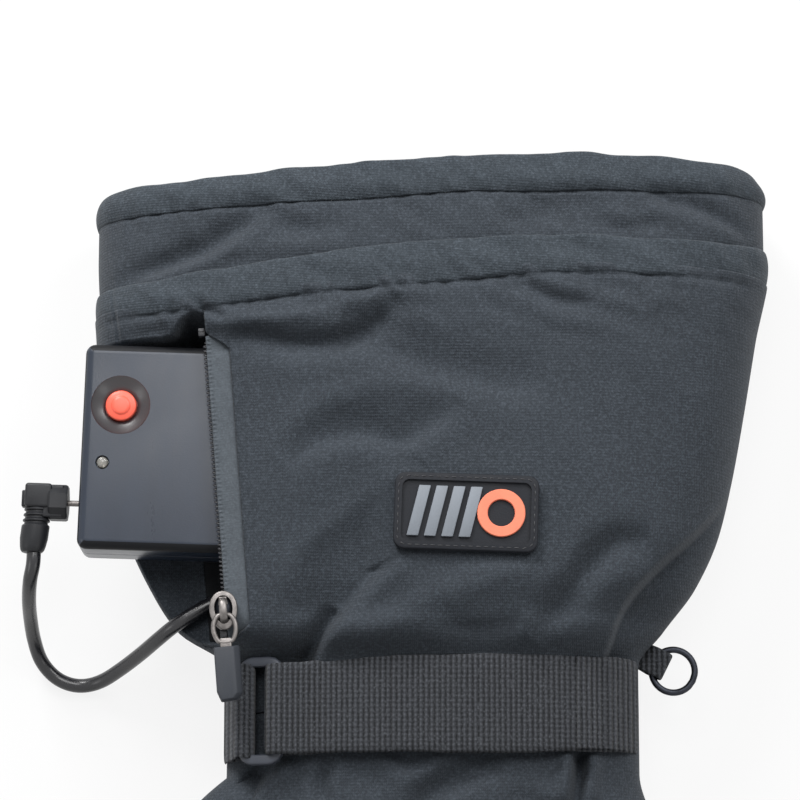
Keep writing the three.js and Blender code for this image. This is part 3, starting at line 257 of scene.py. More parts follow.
def srgb(red, green, blue):
    """A colour as seen on screen, 0 to 255, in linear light."""
    shares = [value / 255 for value in (red, green, blue)]
    return tuple(v / 12.92 if v <= 0.04045 else ((v + 0.055) / 1.055) ** 2.4 for v in shares) + (1.0,)


def scaled(colour, factor):
    return tuple(min(1.0, c * factor) for c in colour[:3]) + (1.0,)


def cloudy(made, value, low, high, colour, cloud):
    return made.mix(made.ramp(value, low, high), scaled(colour, 1 - cloud), scaled(colour, 1 + cloud))


def woven(made, colour, speckle, pitch=0.8, roughness=0.85, relief=0.05, turn=0.0):
    """Plain-woven cloth: fine ribs both ways, light flecks of thread, and soft clouds of wear."""
    places = made.places(turn=turn)
    flecks = made.noise(places, 1500, 2.0, 0.7)
    clouds = made.noise(places, 42, 4.0, 0.55)
    lint = made.noise(places, 620, 3.0, 0.8)
    weave = made.sum(made.wave(places, pitch * 0.62, "X", 0.6), made.wave(places, pitch, "Y", 1.2), "MULTIPLY")
    threads = made.mix(weave, scaled(colour, 0.78), scaled(colour, 1.24))
    cloth = made.mix(0.5, cloudy(made, clouds, 0.35, 0.65, colour, 0.16), threads)
    worn = made.mix(made.ramp(lint, 0.38, 0.66), scaled(colour, 0.74), scaled(colour, 1.3))
    flecked = made.mix(made.ramp(flecks, 0.46, 0.86), made.mix(0.4, cloth, worn), scaled(colour, 1 + speckle * 1.3))
    made.bump(made.sum(weave, flecks), relief)
    return made.finish(flecked, made.ramp(clouds, 0, 1, roughness - 0.08, roughness + 0.08),
                       Specular_IOR_Level=0.16, Sheen_Weight=0.06, Sheen_Roughness=0.5)


def fibre(made, colour, scale, relief, roughness=0.95, cloud=0.2, sheen=0.3):
    """Fleece, felt or wadding: short tangled fibres in soft clumps."""
    places = made.places()
    fibres = made.noise(places, scale, 5.0, 0.7)
    clumps = made.noise(places, scale / 7, 3.0, 0.6)
    made.bump(made.sum(fibres, clumps), relief)
    tips = made.mix(made.ramp(fibres, 0.45, 0.7), cloudy(made, clumps, 0.3, 0.7, colour, cloud), scaled(colour, 1.7))
    return made.finish(tips, roughness, Sheen_Weight=sheen)


def ribbed(made, colour, pitch):
    """Elastic webbing: cords across its width with fuzzy threads between them. The grooves between the cords are
    painted darker and their crests lighter, as painted shade and light.
    """
    places = made.places()
    ribs = made.wave(places, pitch, "X", 0.5)
    weave = made.sum(ribs, made.wave(places, 1.3, "Y", 0.8), "MULTIPLY")
    fuzz = made.noise(places, 1700, 3.0, 0.75)
    # Painted shade and light: the colour goes from 0.3 of itself in the rib grooves to 1.3 on the crests, following the
    # ribs' relief
    threads = made.mix(weave, made.mix(ribs, scaled(colour, 0.3), scaled(colour, 1.3)), scaled(colour, 1.75))
    made.bump(made.sum(weave, fuzz), 0.12, Normal=made.bump(ribs, 0.28))
    return made.finish(made.mix(made.ramp(fuzz, 0.5, 0.76), threads, scaled(colour, 2.4)), 0.9,
                       Specular_IOR_Level=0.16, Sheen_Weight=0.1)


def plastic(made, colour, roughness=0.4, grain=0.02, wear=0.25, specular=0.5):
    """Moulded plastic or rubber: a fine eroded grain, faint rub marks and a roughness that varies with handling."""
    rubs = made.noise(made.places((1, 0.25, 1), 0.3), 160, 5.0, 0.7)
    made.bump(made.noise(made.places(), 1800, 2.0, 0.5), grain)
    return made.finish(made.mix(made.ramp(rubs, 0.35, 0.75), colour, scaled(colour, 1 + wear)),
                       made.ramp(rubs, 0.3, 0.7, roughness * 0.88, roughness * 1.15), Specular_IOR_Level=specular)


def metal(made, colour, roughness):
    """Plated metal with brushed scratches, duller in its dirty spots."""
    dirt = made.noise(made.places(), 420, 4.0, 0.6)
    made.bump(made.noise(made.places((1, 0.06, 1), 0.5), 1400, 3.0, 0.6), 0.03)
    return made.finish(made.mix(made.ramp(dirt, 0.45, 0.75), colour, scaled(colour, 0.55)),
                       made.ramp(dirt, 0, 1, roughness * 0.7, roughness * 1.6), Metallic=1.0)


def clear(made, colour, cloud):
    """Moulded clear plastic, a little cloudy."""
    return made.finish(made.mix(made.noise(made.places(), 900, 2.0, 0.5), colour, srgb(*cloud)), 0.12,
                       Transmission_Weight=0.75, IOR=1.49)


RIB_PITCH = 1.45
LOOKS = {
    "shell_nylon": (woven, (55, 60, 66), dict(speckle=1.0, relief=0.09)),
    "hem_nylon": (woven, (58, 64, 70), dict(pitch=0.7, speckle=1.0, relief=0.09, turn=0.06)),
    "palm_leather": (fibre, (44, 46, 51), dict(scale=520, roughness=0.6, relief=0.16, sheen=0.0)),
    # Partly the lining's own dark colour, partly painted shade: darkened further to stand for the shade under the pack
    "pocket_cloth": (woven, (20, 22, 25), dict(pitch=0.6, roughness=0.75, speckle=0.2)),
    "wadding": (fibre, (196, 196, 190), dict(scale=500, relief=0.5, cloud=0.08)),
    "fleece": (fibre, (62, 65, 71), dict(scale=700, relief=0.6)),
    "heater_film": (plastic, (124, 84, 48), dict(roughness=0.5)),
    "heater_wire": (plastic, (150, 48, 36), dict(roughness=0.5)),
    "zip_tape": (woven, (84, 90, 96), dict(pitch=0.45, roughness=0.8, speckle=0.3, turn=0.08)),
    "zip_teeth": (plastic, (34, 35, 39), dict(roughness=0.45)),
    "nickel": (metal, (122, 118, 116), dict(roughness=0.4)),
    "rubber": (plastic, (36, 40, 47), dict(roughness=0.62, grain=0.03)),
    "webbing": (ribbed, (59, 61, 65), dict(pitch=RIB_PITCH)),
    "buckle_plastic": (plastic, (62, 66, 75), dict(roughness=0.5)),
    "dark_metal": (metal, (52, 54, 60), dict(roughness=0.4)),
    "patch_base": (plastic, (28, 30, 35), dict(roughness=0.55, grain=0.05, specular=0.2)),
    "patch_grey": (plastic, (122, 128, 136), dict(roughness=0.6, grain=0.05)),
    "patch_orange": (plastic, (242, 132, 102), dict(roughness=0.6, grain=0.05)),
    "case_plastic": (plastic, (33, 41, 54), dict(roughness=0.3, grain=0.012, wear=0.2, specular=0.48)),
    # Painted shade: the pack's top fillets take this darker colour for the dark band that they show
    "case_edge_painted_shade": (plastic, (20, 21, 24), dict(roughness=0.5, wear=0.2, specular=0.16)),
    "dish_gloss": (plastic, (30, 30, 34), dict(roughness=0.32, grain=0.006, wear=0.1, specular=0.85)),
    "button_red": (plastic, (255, 104, 82), dict(roughness=0.35, grain=0.01, wear=0.08)),
    "led_clear": (clear, (236, 234, 226), dict(cloud=(205, 203, 196))),
    "board_green": (plastic, (38, 96, 58), {}),
    "cell_wrap": (plastic, (50, 50, 54), dict(roughness=0.3)),
    "plug_plastic": (plastic, (30, 31, 34), dict(roughness=0.42, specular=0.3)),
    "cord_pvc": (plastic, (28, 28, 32), dict(roughness=0.27, grain=0.004, wear=0.1, specular=0.62)),
}
looks = {name: maker(Nodes(bpy.data.materials.new(name)), srgb(*colour), **settings)
         for name, (maker, colour, settings) in LOOKS.items()}


def add_piece(obj, body, slot, *nodes, look=None):
    """A finished piece: its look, the CAD body that it rides on, and the nodes that it stands for."""
    obj.data.materials.clear()
    obj.data.materials.append(looks[look or slot])
    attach(obj, body)
    if nodes:
        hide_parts(*nodes)
    return obj


def add_cloth(name, grid, thickness, slot, *nodes, look=None, **shape):
    """A sheet of the mitten with its thickness under the grid."""
    cloth = bake(grid_object(name, grid, **shape), "SOLIDIFY", thickness=thickness * MM, offset=-1.0)
    return add_piece(cloth, "mitten", slot, *nodes, look=look)


# The bag: rows along Y of half width left and right, height and squareness, as in the CAD
SEAM = 17.0
CUFF_LENGTH, CUFF_HALF, CUFF_HEIGHT = 152.0, 95.0, 54.0
HAND_LENGTH, HAND_HALF, HAND_HEIGHT = 195.0, 66.0, 46.0
THUMB_LENGTH = 94.0
CROWN_POWER = 1 / 2.4
CUFF_ROWS = [
    (0, 0.593, 0.589, 0.796, 2.6), (0.092, 0.593, 0.589, 0.796, 2.6), (0.158, 0.737, 0.663, 0.935, 3.4),
    (0.237, 0.821, 0.758, 1, 4.4), (0.329, 0.889, 0.826, 1, 4.6), (0.434, 0.937, 0.868, 1, 4.6),
    (0.553, 0.968, 0.905, 1, 4.6), (0.684, 0.984, 0.942, 1, 4.4), (0.842, 1, 0.989, 0.981, 3.8),
    (1, 1, 0.989, 0.944, 3.4),
]
HAND_ROWS = [
    (0.077, 0.854, 0.848, 0.935, 2.6), (0.164, 0.909, 0.924, 0.978, 2.6), (0.282, 0.955, 0.97, 1, 2.6),
    (0.436, 0.985, 1, 0.978, 2.6), (0.59, 0.985, 1, 0.935, 2.6), (0.718, 0.939, 0.955, 0.87, 2.6),
    (0.821, 0.83, 0.85, 0.8, 2.6), (0.9, 0.66, 0.69, 0.73, 2.6), (0.96, 0.45, 0.48, 0.67, 2.6),
    (1, 0.25, 0.28, 0.62, 2.6),
]
THUMB_ROWS = [
    (0, 0.8, 0.8, 0.88, 2.4), (0.25, 0.98, 0.98, 0.97, 2.4), (0.5, 1, 1, 0.97, 2.4),
    (0.72, 0.95, 0.95, 0.92, 2.4), (0.89, 0.8, 0.8, 0.85, 2.4), (1, 0.57, 0.57, 0.77, 2.4),
]


def sized(rows, length, half, height, sign=1):
    return [(sign * r[0] * length, r[1] * half, r[2] * half, r[3] * height, r[4]) for r in rows]


bag_rows = sorted(sized(CUFF_ROWS, CUFF_LENGTH, CUFF_HALF, CUFF_HEIGHT)
                  + sized(HAND_ROWS, HAND_LENGTH, HAND_HALF, HAND_HEIGHT, -1))
thumb_rows = sorted(sized(THUMB_ROWS, THUMB_LENGTH, 21.0, 37.0, -1))


def row_values(table, y):
    """Left, right, height and power at places along the bag, smooth between the table's rows."""
    table = np.array(table)
    ys = table[:, 0]
    y = np.clip(np.asarray(y, float), ys[0], ys[-1])
    i = np.clip(np.searchsorted(ys, y, side="right") - 1, 0, len(ys) - 2)
    step = ys[i + 1] - ys[i]
    t = ((y - ys[i]) / step)[..., None]
    slopes = np.diff(table[:, 1:], axis=0) / np.diff(ys)[:, None]
    inner = np.where(slopes[1:] * slopes[:-1] > 0,
                     2 * slopes[1:] * slopes[:-1] / (slopes[1:] + slopes[:-1] + 1e-12), 0)
    tangents = np.vstack([slopes[:1], inner, slopes[-1:]])
    a, b = table[i, 1:], table[i + 1, 1:]
    ta, tb = tangents[i] * step[..., None], tangents[i + 1] * step[..., None]
    made = (2 * t ** 3 - 3 * t ** 2 + 1) * a + (t ** 3 - 2 * t ** 2 + t) * ta \
        + (-2 * t ** 3 + 3 * t ** 2) * b + (t ** 3 - t ** 2) * tb
    return tuple(made[..., k] for k in range(4))


def crown(s, power):
    return np.maximum(0, 1 - np.abs(s) ** power) ** CROWN_POWER


def section_x(y, s, depth=0.0):
    left, right, _, _ = row_values(bag_rows, y)
    return (right - left) / 2 + ((left + right) / 2 - depth) * s


def share_at(x, y):
    left, right, _, _ = row_values(bag_rows, y)
    return np.clip((x - (right - left) / 2) / ((left + right) / 2), -1, 1)


def top_height(y, s, depth=0.0, table=bag_rows):
    _, _, height, power = row_values(table, y)
    return SEAM + (height - depth - SEAM) * crown(s, power)


def under_height(y, s, depth=0.0, table=bag_rows):
    _, _, _, power = row_values(table, y)
    return SEAM - (SEAM - depth) * np.minimum(1, 1.15 * crown(s, power))


# The hollow under the pack and the line of the zip
TUB_FLOOR, TUB_RIGHT, TUB_LOW, TUB_HIGH, TUB_DEPTH = 25.7, 30.0, 20.0, 101.0, 35.0
TUB_RIGHT_RAMP, TUB_LOW_RAMP, TUB_HIGH_RAMP = 12.0, 6.5, 8.0
ZIP_LOW = np.array((-55.0, 21.0))
ZIP_TOP = np.array((-61.5, 100.0))
ZIP_LENGTH = float(np.linalg.norm(ZIP_TOP - ZIP_LOW))
ZIP_ALONG = (ZIP_TOP - ZIP_LOW) / ZIP_LENGTH
ZIP_ACROSS = np.array((ZIP_ALONG[1], -ZIP_ALONG[0]))
ZIP_Z = 49.4
TAPE_WIDTH = 6.0
WRIST_Y, PALM_SEAM = 0.15, -8.0
SHELL_THICK = 1.2
PATCH_AT, PATCH_SIZE = (8.4, 51.2), (38.4, 20.6)


def zip_x(y, across=0.0):
    """X of the zip's line at some Y, moved to the right by a distance."""
    return ZIP_LOW[0] + (y - ZIP_LOW[1]) * ZIP_ALONG[0] / ZIP_ALONG[1] + across / ZIP_ACROSS[0]


def smooth_max(a, b, reach):
    share = np.clip(0.5 + 0.5 * (a - b) / reach, 0, 1)
    return b * (1 - share) + a * share + reach * share * (1 - share)


def smooth_min(a, b, reach):
    return -smooth_max(-a, -b, reach)


def tub_height(x, y, depth=0.0):
    """Height of the hollow's floor and sloping sides."""
    right = (x - TUB_RIGHT - depth) / TUB_RIGHT_RAMP
    low = (TUB_LOW - depth - y) / TUB_LOW_RAMP
    high = (y - TUB_HIGH - depth) / TUB_HIGH_RAMP
    ramp = np.maximum(0, np.maximum(right, np.maximum(low, high)))
    return TUB_FLOOR - depth + TUB_DEPTH * ramp


# Folds in the cloth: the line that each runs along, how wide it is to the right and to the left of that line, how
# deep it is (less than nothing for a ridge), and how far the cloth rises beside it
CUFF_FOLDS = [
    ([(84, 66), (79, 56), (70.2, 46.1), (60.3, 37.1), (52.3, 27.9), (48, 17.6), (45, 6)], 1.0, 26, 7.0, 0.0),
    ([(27, 18), (35, 29), (42, 38), (48, 43.5), (58, 44.5)], 4.5, 4.0, 2.6, 0.1),
    ([(-28, 8), (-22, 16.5), (-11.9, 22.5), (-1.2, 27.5), (12, 32), (27, 38.5)], 5.0, 4.5, -1.6, 0.0),
    ([(-38, 7), (-33.5, 16), (-28, 24), (-20, 33), (-12, 42), (-6, 50), (3, 58)], 2.8, 16, 4.0, 0.1),
    ([(-37, 6), (-35, 13.8), (-31, 19.7), (-26, 26)], 2.0, 2.6, 3.2, 0.2),
    ([(-9, 64), (-22.5, 52), (-33, 44), (-39, 36), (-38.4, 27), (-39, 15)], 3.6, 3.6, -0.8, 0.0),
    ([(-40, 65), (-31, 71), (-19.9, 73.5), (-9.2, 71.6), (-2, 75.5), (7, 82)], 3.0, 6.5, 2.3, 0.1),
    ([(-46, 64), (-41.2, 71), (-33, 79), (-25.3, 83.2), (-12, 86.5), (-1.2, 86.5), (21, 85)], 4.5, 4.5, -0.8, 0.0),
    ([(-26, 101), (-19.9, 99.5), (-9.2, 95.5), (1.5, 90.6), (17.6, 87), (30, 86)], 4.5, 8.0, 2.5, 0.1),
    ([(-56, 98.5), (-49.5, 99.3), (-36, 97.4), (-22.6, 99.4), (-8, 108.5)], 3.6, 2.6, 2.5, 0.3),
    ([(-68, 102.3), (-50.9, 103.7), (-34.7, 105.2), (-20, 109.3), (-10, 113)], 2.4, 2.4, -1.1, 0.0),
    ([(-92, 100), (-71.3, 101), (-56, 98)], 3.0, 3.0, 1.6, 0.2),
    ([(20, 115), (29.8, 110.7), (36.5, 109), (46, 109.6)], 2.6, 2.6, 1.1, 0.3),
    ([(2, 21.5), (12, 20.4), (24, 22)], 4.5, 3.0, 1.6, 0.3),
    ([(-16, 122), (-12.5, 117.5), (-8.5, 112)], 0.9, 0.9, 1.0, 0.6),
    ([(-66, 112), (-62, 107.5), (-56, 105)], 1.0, 1.0, 0.9, 0.5),
    ([(-88.6, 120), (-87.6, 112), (-86.2, 104), (-85.6, 96)], 0.45, 0.45, 0.8, 0.3),
    ([(-49, 92), (-47, 76), (-46, 58), (-46, 44)], 3.5, 3.5, 0.6, 0.3),
    ([(60, 108), (68, 98), (72, 86)], 5.0, 5.0, 0.7, 0.2),
]
GAITER_FOLDS = [
    ([(-86, 116), (-82, 117.5), (-71.6, 121.5), (-61.4, 125), (-52.5, 130.7), (-44, 137)], 2.2, 4.2, 2.7, 0.3),
    ([(-46, 134), (-38, 130), (-24, 131)], 3.4, 3.4, 0.9, 0.4),
    ([(18, 132), (34, 135.5), (50, 133)], 4.0, 4.0, 0.9, 0.3),
    ([(58, 141), (72, 137.5), (88, 131)], 2.2, 3.0, 1.5, 0.4),
    ([(40, 131), (52, 130), (64, 132)], 2.4, 2.4, 0.7, 0.3),
]
HAND_FOLDS = [
    ([(39.2, -9), (38.9, -13), (38.4, -19), (37.4, -27)], 1.7, 1.9, 4.3, 0.5),
    ([(-13, -10), (-6.5, -13.8), (0, -12)], 2.0, 1.6, 1.3, 0.4),
    ([(-6, -29), (-1.3, -22.7), (6.7, -17.4), (18, -12)], 3.6, 3.6, 2.4, 0.3),
    ([(-58, -34), (-52.1, -23), (-47.5, -16.5), (-40, -10.5)], 2.2, 2.2, 3.4, 0.4),
    ([(20, -22), (30, -27), (44, -26)], 3.0, 3.0, 1.2, 0.4),
    ([(-28, -12), (-30, -19), (-29, -27)], 2.0, 2.0, 1.2, 0.5),
    ([(-40, -40), (-10, -48), (24, -46), (50, -40)], 6.0, 6.0, 1.2, 0.3),
    ([(-44, -80), (-20, -88), (18, -86), (52, -78)], 7.0, 7.0, 0.9, 0.3),
    ([(-36, -122), (0, -130), (40, -120)], 7.0, 7.0, 1.0, 0.3),
]
FOLD_GAIN = 1.25


def line_distance(x, y, points):
    """Distance from a line of points, its sign by the side, and a share that fades to 0 at the line's ends."""
    best = np.full(x.shape, 1e9)
    signed = np.zeros(x.shape)
    fade = np.ones(x.shape)
    path = spline(points, 6)
    count = len(path) - 1
    for i in range(count):
        (ax, ay), (bx, by) = path[i], path[i + 1]
        dx, dy = bx - ax, by - ay
        t = np.clip(((x - ax) * dx + (y - ay) * dy) / (dx * dx + dy * dy), 0, 1)
        away = np.hypot(x - ax - t * dx, y - ay - t * dy)
        near = away < best
        best = np.where(near, away, best)
        signed = np.where(near, np.sign((x - ax) * dy - (y - ay) * dx) * away, signed)
        fade = np.where(near, (i + t) / count, fade)
    return signed, np.sin(np.clip(fade, 0, 1) * math.pi) ** 0.5


def bell(distance, width):
    return np.exp(-(distance / width) ** 2)


def fold_relief(x, y, folds):
    """Rise and fall of the cloth over its folds."""
    made = np.zeros(x.shape)
    for points, right, left, depth, lip in folds:
        signed, ends = line_distance(x, y, points)
        width = np.where(signed > 0, right, left)
        ridge = bell(np.abs(signed) - 1.9 * width, 1.2 * width) * (min(right, left) / width) ** 2
        made += FOLD_GAIN * depth * ends * (lip * ridge - bell(signed, width))
    return made


WAVES = [(rng.uniform(0, TURN), rng.uniform(0.7, 1.4), rng.uniform(0, TURN)) for _ in range(9)]


def ripple(x, y, length, seed):
    """Gentle undulation of about one wavelength, from crossed waves; seed picks another stretch of it."""
    made = np.zeros(np.shape(x))
    for angle, share, phase in WAVES:
        wave = TURN * share / length
        made += np.sin(wave * (x * math.cos(angle) + y * math.sin(angle)) + phase + seed * (1 + share))
    return made / 4.0


def eased(share):
    share = np.clip(share, 0, 1)
    return share * share * (3 - 2 * share)


def line_through(points):
    """Y at any X of a smooth line through points."""
    dense = spline(points, 8)
    return lambda x: np.interp(x, dense[:, 0], dense[:, 1])


# Where the cuff's hem and the gaiter's hem begin and end, from the left edge to the right
hem_top = line_through([(-97, 116.4), (-78, 116.3), (-62, 118), (-42, 120.8), (-28, 123), (-9, 125.3), (12, 127),
                        (40, 128), (60, 127.4), (81, 127.8), (97, 129.6)])
hem_foot = line_through([(-97, 106.6), (-69, 106.9), (-51, 108.8), (-31, 111.3), (-9, 113.3), (7, 114.6), (20, 116.2),
                         (39, 117), (60, 117), (97, 116.6)])
rim_top = line_through([(-97, 143), (-91, 143.8), (-83, 144.3), (-62, 145), (-35, 147.6), (6, 150.4), (33, 151.3),
                        (60, 151.2), (84, 150.4), (91, 148), (97, 146.4)])
rim_foot = line_through([(-97, 135.6), (-69, 135.7), (-47, 137), (-20, 138.2), (7, 140.3), (21, 140.4), (40, 140.8),
                         (60, 141.2), (97, 142.6)])


def pucker(x, y, line, seed):
    """Small gathers that run off a stitched line."""
    return 0.45 * ripple(x, 0.35 * y, 5.5, seed) * np.exp(-np.abs(y - line) / 3.2)


def cuff_relief(x, y):
    """Folds, a swell above the strap, crumples below the hem and soft waves, all calmer under the patch."""
    calm = np.clip((np.abs(x) - 60) / 30, 0, 1)
    crumple = np.clip((y - 96) / 14, 0, 1)
    made = fold_relief(x, y, CUFF_FOLDS) + 4.4 * bell(y - 18, 5.5)
    made += 0.5 * ripple(x, y, 46, 1.0) + 0.26 * ripple(x, y, 19, 2.0) * (0.5 + calm)
    made += crumple * (0.45 * ripple(x * 0.6, y * 1.6, 13, 3.0) + 0.25 * ripple(x, y, 8, 4.0))
    away = np.maximum(np.abs(x - PATCH_AT[0]) / (PATCH_SIZE[0] / 2 + 0.2),
                      np.abs(y - PATCH_AT[1]) / (PATCH_SIZE[1] / 2 + 0.3))
    return made * (1 - 0.9 * np.clip(1.9 - away ** 2, 0, 1))


def edge_share(s, gain=1.6, least=0.1):
    """Folds die out toward the bag's rounded sides."""
    return np.clip(crown(s, 2.4) * gain, least, 1)


def cloth_rise(x, y, s):
    """How far the cuff's cloth stands off the plain bag, with its gathers and the groove at the hem's stitching."""
    line = hem_foot(x)
    return (cuff_relief(x, y) + pucker(x, y, line, 3.0) - 0.7 * bell(y - line, 1.0)) * edge_share(s)


def settled_row(columns, y_of, across, depth=0.0, rounds=3):
    """X, Y and share across of a row whose Y follows from its X, and whose shares may follow from its Y."""
    y = y_of(np.zeros(columns))
    for _ in range(rounds):
        s = across(y)
        x = section_x(y, s, depth)
        y = y_of(x)
    return x, y, s


def cuff_grid(count, left, right, columns):
    """X, Y and share across from the wrist to under the hem, between two lines that are functions of Y."""
    def across(y):
        low, high = (np.arccos(-edge(y)) for edge in (left, right))
        return -np.cos(low + (high - low) * np.linspace(0, 1, columns))
    return np.moveaxis([settled_row(columns, lambda x: WRIST_Y + v * (hem_foot(x) + 3 - WRIST_Y), across, rounds=4)
                        for v in np.linspace(0, 1, count)], 1, 0)


def inside_zip(y):
    """1 along the zip, smoothly 0 past its ends."""
    return eased(np.minimum((y - ZIP_LOW[1] + 4.5) / 6, (ZIP_TOP[1] + 1.5 - y) / 5))


def held(y):
    """How far the cloth beside the zip is held level with its tape; it eases off toward the strap."""
    return eased(np.minimum((y - 9) / 17, (ZIP_TOP[1] + 3 - y) / 7))


# The pocket front: the cuff's top right of the zip, its edge folded under and stitched beside the tape
x, y, s = cuff_grid(230, lambda y: share_at(zip_x(y, (TAPE_WIDTH - 0.1) * inside_zip(y)), y), np.ones_like, 250)
past_tape = (x - zip_x(y)) * ZIP_ACROSS[0] - TAPE_WIDTH
level = ZIP_Z + 0.9 + 0.10 * np.clip(past_tape, 0, 30)
pull = held(y) * np.clip(1 - past_tape / 18, 0, 1)
z = (top_height(y, s) + cloth_rise(x, y, s)) * (1 - pull) + level * pull
z -= (0.35 * bell(past_tape - 2.2, 0.45) + 0.5 * bell(past_tape, 0.5)) * inside_zip(y)
add_cloth("pocket_front", np.stack([x, y, z], axis=-1), SHELL_THICK, "shell_nylon", "pocket_front_panel")


# The strip left of the zip, which the pack presses down; behind the pack it climbs back steeply to the cuff
def side_height(x, y, s):
    climb = np.clip((y + 0.033 * x - 96.5) / 2.4, 0, 1) * np.clip((zip_x(y) - x - 3) / 9, 0, 1)
    pressed = tub_height(x, y) + 0.25 * ripple(x, y, 14, 5.0) - 0.3 + 27 * eased(climb)
    return smooth_min(top_height(y, s) + cloth_rise(x, y, s), pressed, 2.5)


x, y, s = cuff_grid(230, lambda y: -np.ones_like(y), lambda y: share_at(zip_x(y, -TAPE_WIDTH * inside_zip(y)), y), 90)
add_cloth("cuff_side", np.stack([x, y, side_height(x, y, s)], axis=-1), SHELL_THICK, "shell_nylon", "cuff_side_panel")

# The pocket's back wall, which runs on under the pocket front
y = np.linspace(1.0, 104.0, 120)[:, None]
start, end = np.maximum(zip_x(y, -TAPE_WIDTH), section_x(y, -0.97, 1.5)), section_x(y, 0.985, 1.5)
x = start + (end - start) * np.linspace(0, 1, 110)
y = np.broadcast_to(y, x.shape)
s = share_at(x, y)
z = smooth_min(top_height(y, s, 1.8) - 0.4 + np.minimum(0, cloth_rise(x, y, s)), tub_height(x, y, 1.5) + 1.2, 2.0)
# The lining's cloth is darker than its own colour, as painted shade under the pack
add_cloth("pocket_lining", np.stack([x, y, z], axis=-1), 0.9, "pocket_cloth", "pocket_back_lining")

# Under side of the cuff
s = np.cos(np.linspace(0, math.pi, 120))
x, y, s = np.moveaxis([settled_row(120, lambda x: PALM_SEAM + v * (hem_foot(x) + 3 - PALM_SEAM), lambda y: s)
                       for v in np.linspace(0, 1, 90)], 1, 0)
z = under_height(y, s)
z += np.clip(z / 6, 0, 1) * 0.5 * ripple(x, y, 20, 6.0)
add_cloth("cuff_palm", np.stack([x, y, z], axis=-1), SHELL_THICK, "shell_nylon", "cuff_palm_panel")


def all_round(columns_top, columns_under):
    """Shares across of a row all round the bag, and which of its points are on top."""
    top, under = (np.cos(math.pi * np.linspace(0, 1, count)) for count in (columns_top, columns_under))
    return np.concatenate([-top, under[1:-1]]), np.arange(columns_top + columns_under - 2) < columns_top


# The cuff's hem, a folded band whose stitched lower edge is drawn in, and the inner gaiter with its own hem
def band_grid(columns, rows, y_of, depth_of, relief, side_depth=0.0):
    """A band all round the cuff, from its outer rim down, pushed out or in by a depth for each row. The side depth
    draws it in at the seams only."""
    s, upper = all_round(columns, columns // 2)
    made = []
    for v in np.linspace(0, 1, rows):
        depth = depth_of(v)
        x, y, _ = settled_row(len(s), lambda x: y_of(v, x), lambda y: s, depth + side_depth)
        z = np.where(upper, top_height(y, s, depth), under_height(y, s, depth))
        z += relief(x, y) * np.where(upper, edge_share(s), 0.2 * np.clip(z / 5, 0, 1))
        made.append(np.stack([x, y, z], axis=-1))
    return np.array(made)


def hem_depth(v):
    bulge = math.sin(math.pi * min(1.0, v * 1.02)) ** 0.5
    return 0.35 - 0.95 * bulge + 0.6 * max(0.0, (v - 0.9) / 0.1) ** 2


def hem_relief(x, y):
    wave = 0.5 * ripple(x * 0.7, y, 17, 3.4) + 0.25 * ripple(x, y, 7, 1.2)
    return 0.6 * cuff_relief(x, y) + wave + pucker(x, y, hem_foot(x), 3.0)


def hem_place(v, x):
    return hem_top(x) + v * (hem_foot(x) - hem_top(x)) + 0.35 * (1 - v) * ripple(x, x * 0, 24, 2.0)


def gaiter_relief(x, y):
    made = fold_relief(x, y, GAITER_FOLDS) + pucker(x, y, rim_foot(x), 5.0)
    made += 0.7 * ripple(x, y, 38, 5.0) + 0.3 * ripple(x, y * 1.4, 12, 6.0)
    inside = np.clip((y - hem_top(x) + 2) / 6, 0, 1)
    return made * inside - 0.5 * (1 - inside)


def gaiter_place(v, x):
    return hem_top(x) - 6 + v * (rim_foot(x) + 1.6 - hem_top(x) + 6)


def rim_depth(v):
    return 2.5 - 1.7 * math.sin(math.pi * min(1.0, 0.04 + v * 0.93)) ** 0.5


def rim_place(v, x):
    return rim_foot(x) + 0.1 + v * (rim_top(x) - rim_foot(x) + 0.35 * ripple(x, x * 0, 26, 4.0))


add_cloth("cuff_hem_band", band_grid(320, 34, hem_place, hem_depth, hem_relief, 0.9), 1.9, "hem_nylon", "cuff_hem",
          closed=True, flip=True)
add_cloth("gaiter_cloth", band_grid(
    280, 46, gaiter_place, lambda v: 1.7, lambda x, y: gaiter_relief(x, y) - 0.7 * bell(y - rim_foot(x), 0.6)),
    1.1, "shell_nylon", "gaiter", closed=True)
add_cloth("gaiter_hem_band", band_grid(
    280, 34, rim_place, rim_depth, lambda x, y: gaiter_relief(x, y) + 0.25 * ripple(x, y, 8, 2.2)),
    1.7, "hem_nylon", "gaiter_hem", closed=True)


# Hand, thumb and the bags inside: rows that end in a rounded tip
def tip_grid(s, upper, rows, start, end, reach, height_of, depth=0.0, table=bag_rows):
    """Rows from a start to an end, the last 14 on a quarter ellipse of a given reach. The height function turns a
    row's X, Y, plain height and share left of its width into its height."""
    stations = [(start + (end + reach - start) * t, 1.0) for t in np.linspace(0, 1, rows)]
    stations += [(end + reach * (1 - math.sin(a)), math.cos(a)) for a in np.linspace(0, math.pi / 2, 15)[1:]]
    made = []
    for y, share in stations:
        y = np.full(s.shape, y)
        left, right, _, _ = row_values(table, y)
        x = (right - left) / 2 + ((left + right) / 2 - depth) * share * s
        z = np.where(upper, top_height(y, s, depth, table), under_height(y, s, depth, table))
        made.append(np.stack([x, y, height_of(x, y, z, share)], axis=-1))
    return np.array(made)


def drawn_in(z, share):
    return SEAM + (z - SEAM) * (0.05 + 0.95 * share)


def hand_rise(x, y, s):
    relief = fold_relief(x, y, HAND_FOLDS) - 3.6 * bell(y + 35, 14)
    relief += 0.8 * ripple(x, y, 44, 7.0) + 0.3 * ripple(x, y, 15, 8.0)
    return relief * np.clip((-y - 8) / 4, 0, 1) * edge_share(s, 1.5, 0.05)


def palm_height(x, y, z, share):
    z = drawn_in(z, share)
    return z + 0.4 * ripple(x, y, 26, 9.0) * np.clip(z / 6, 0, 1)


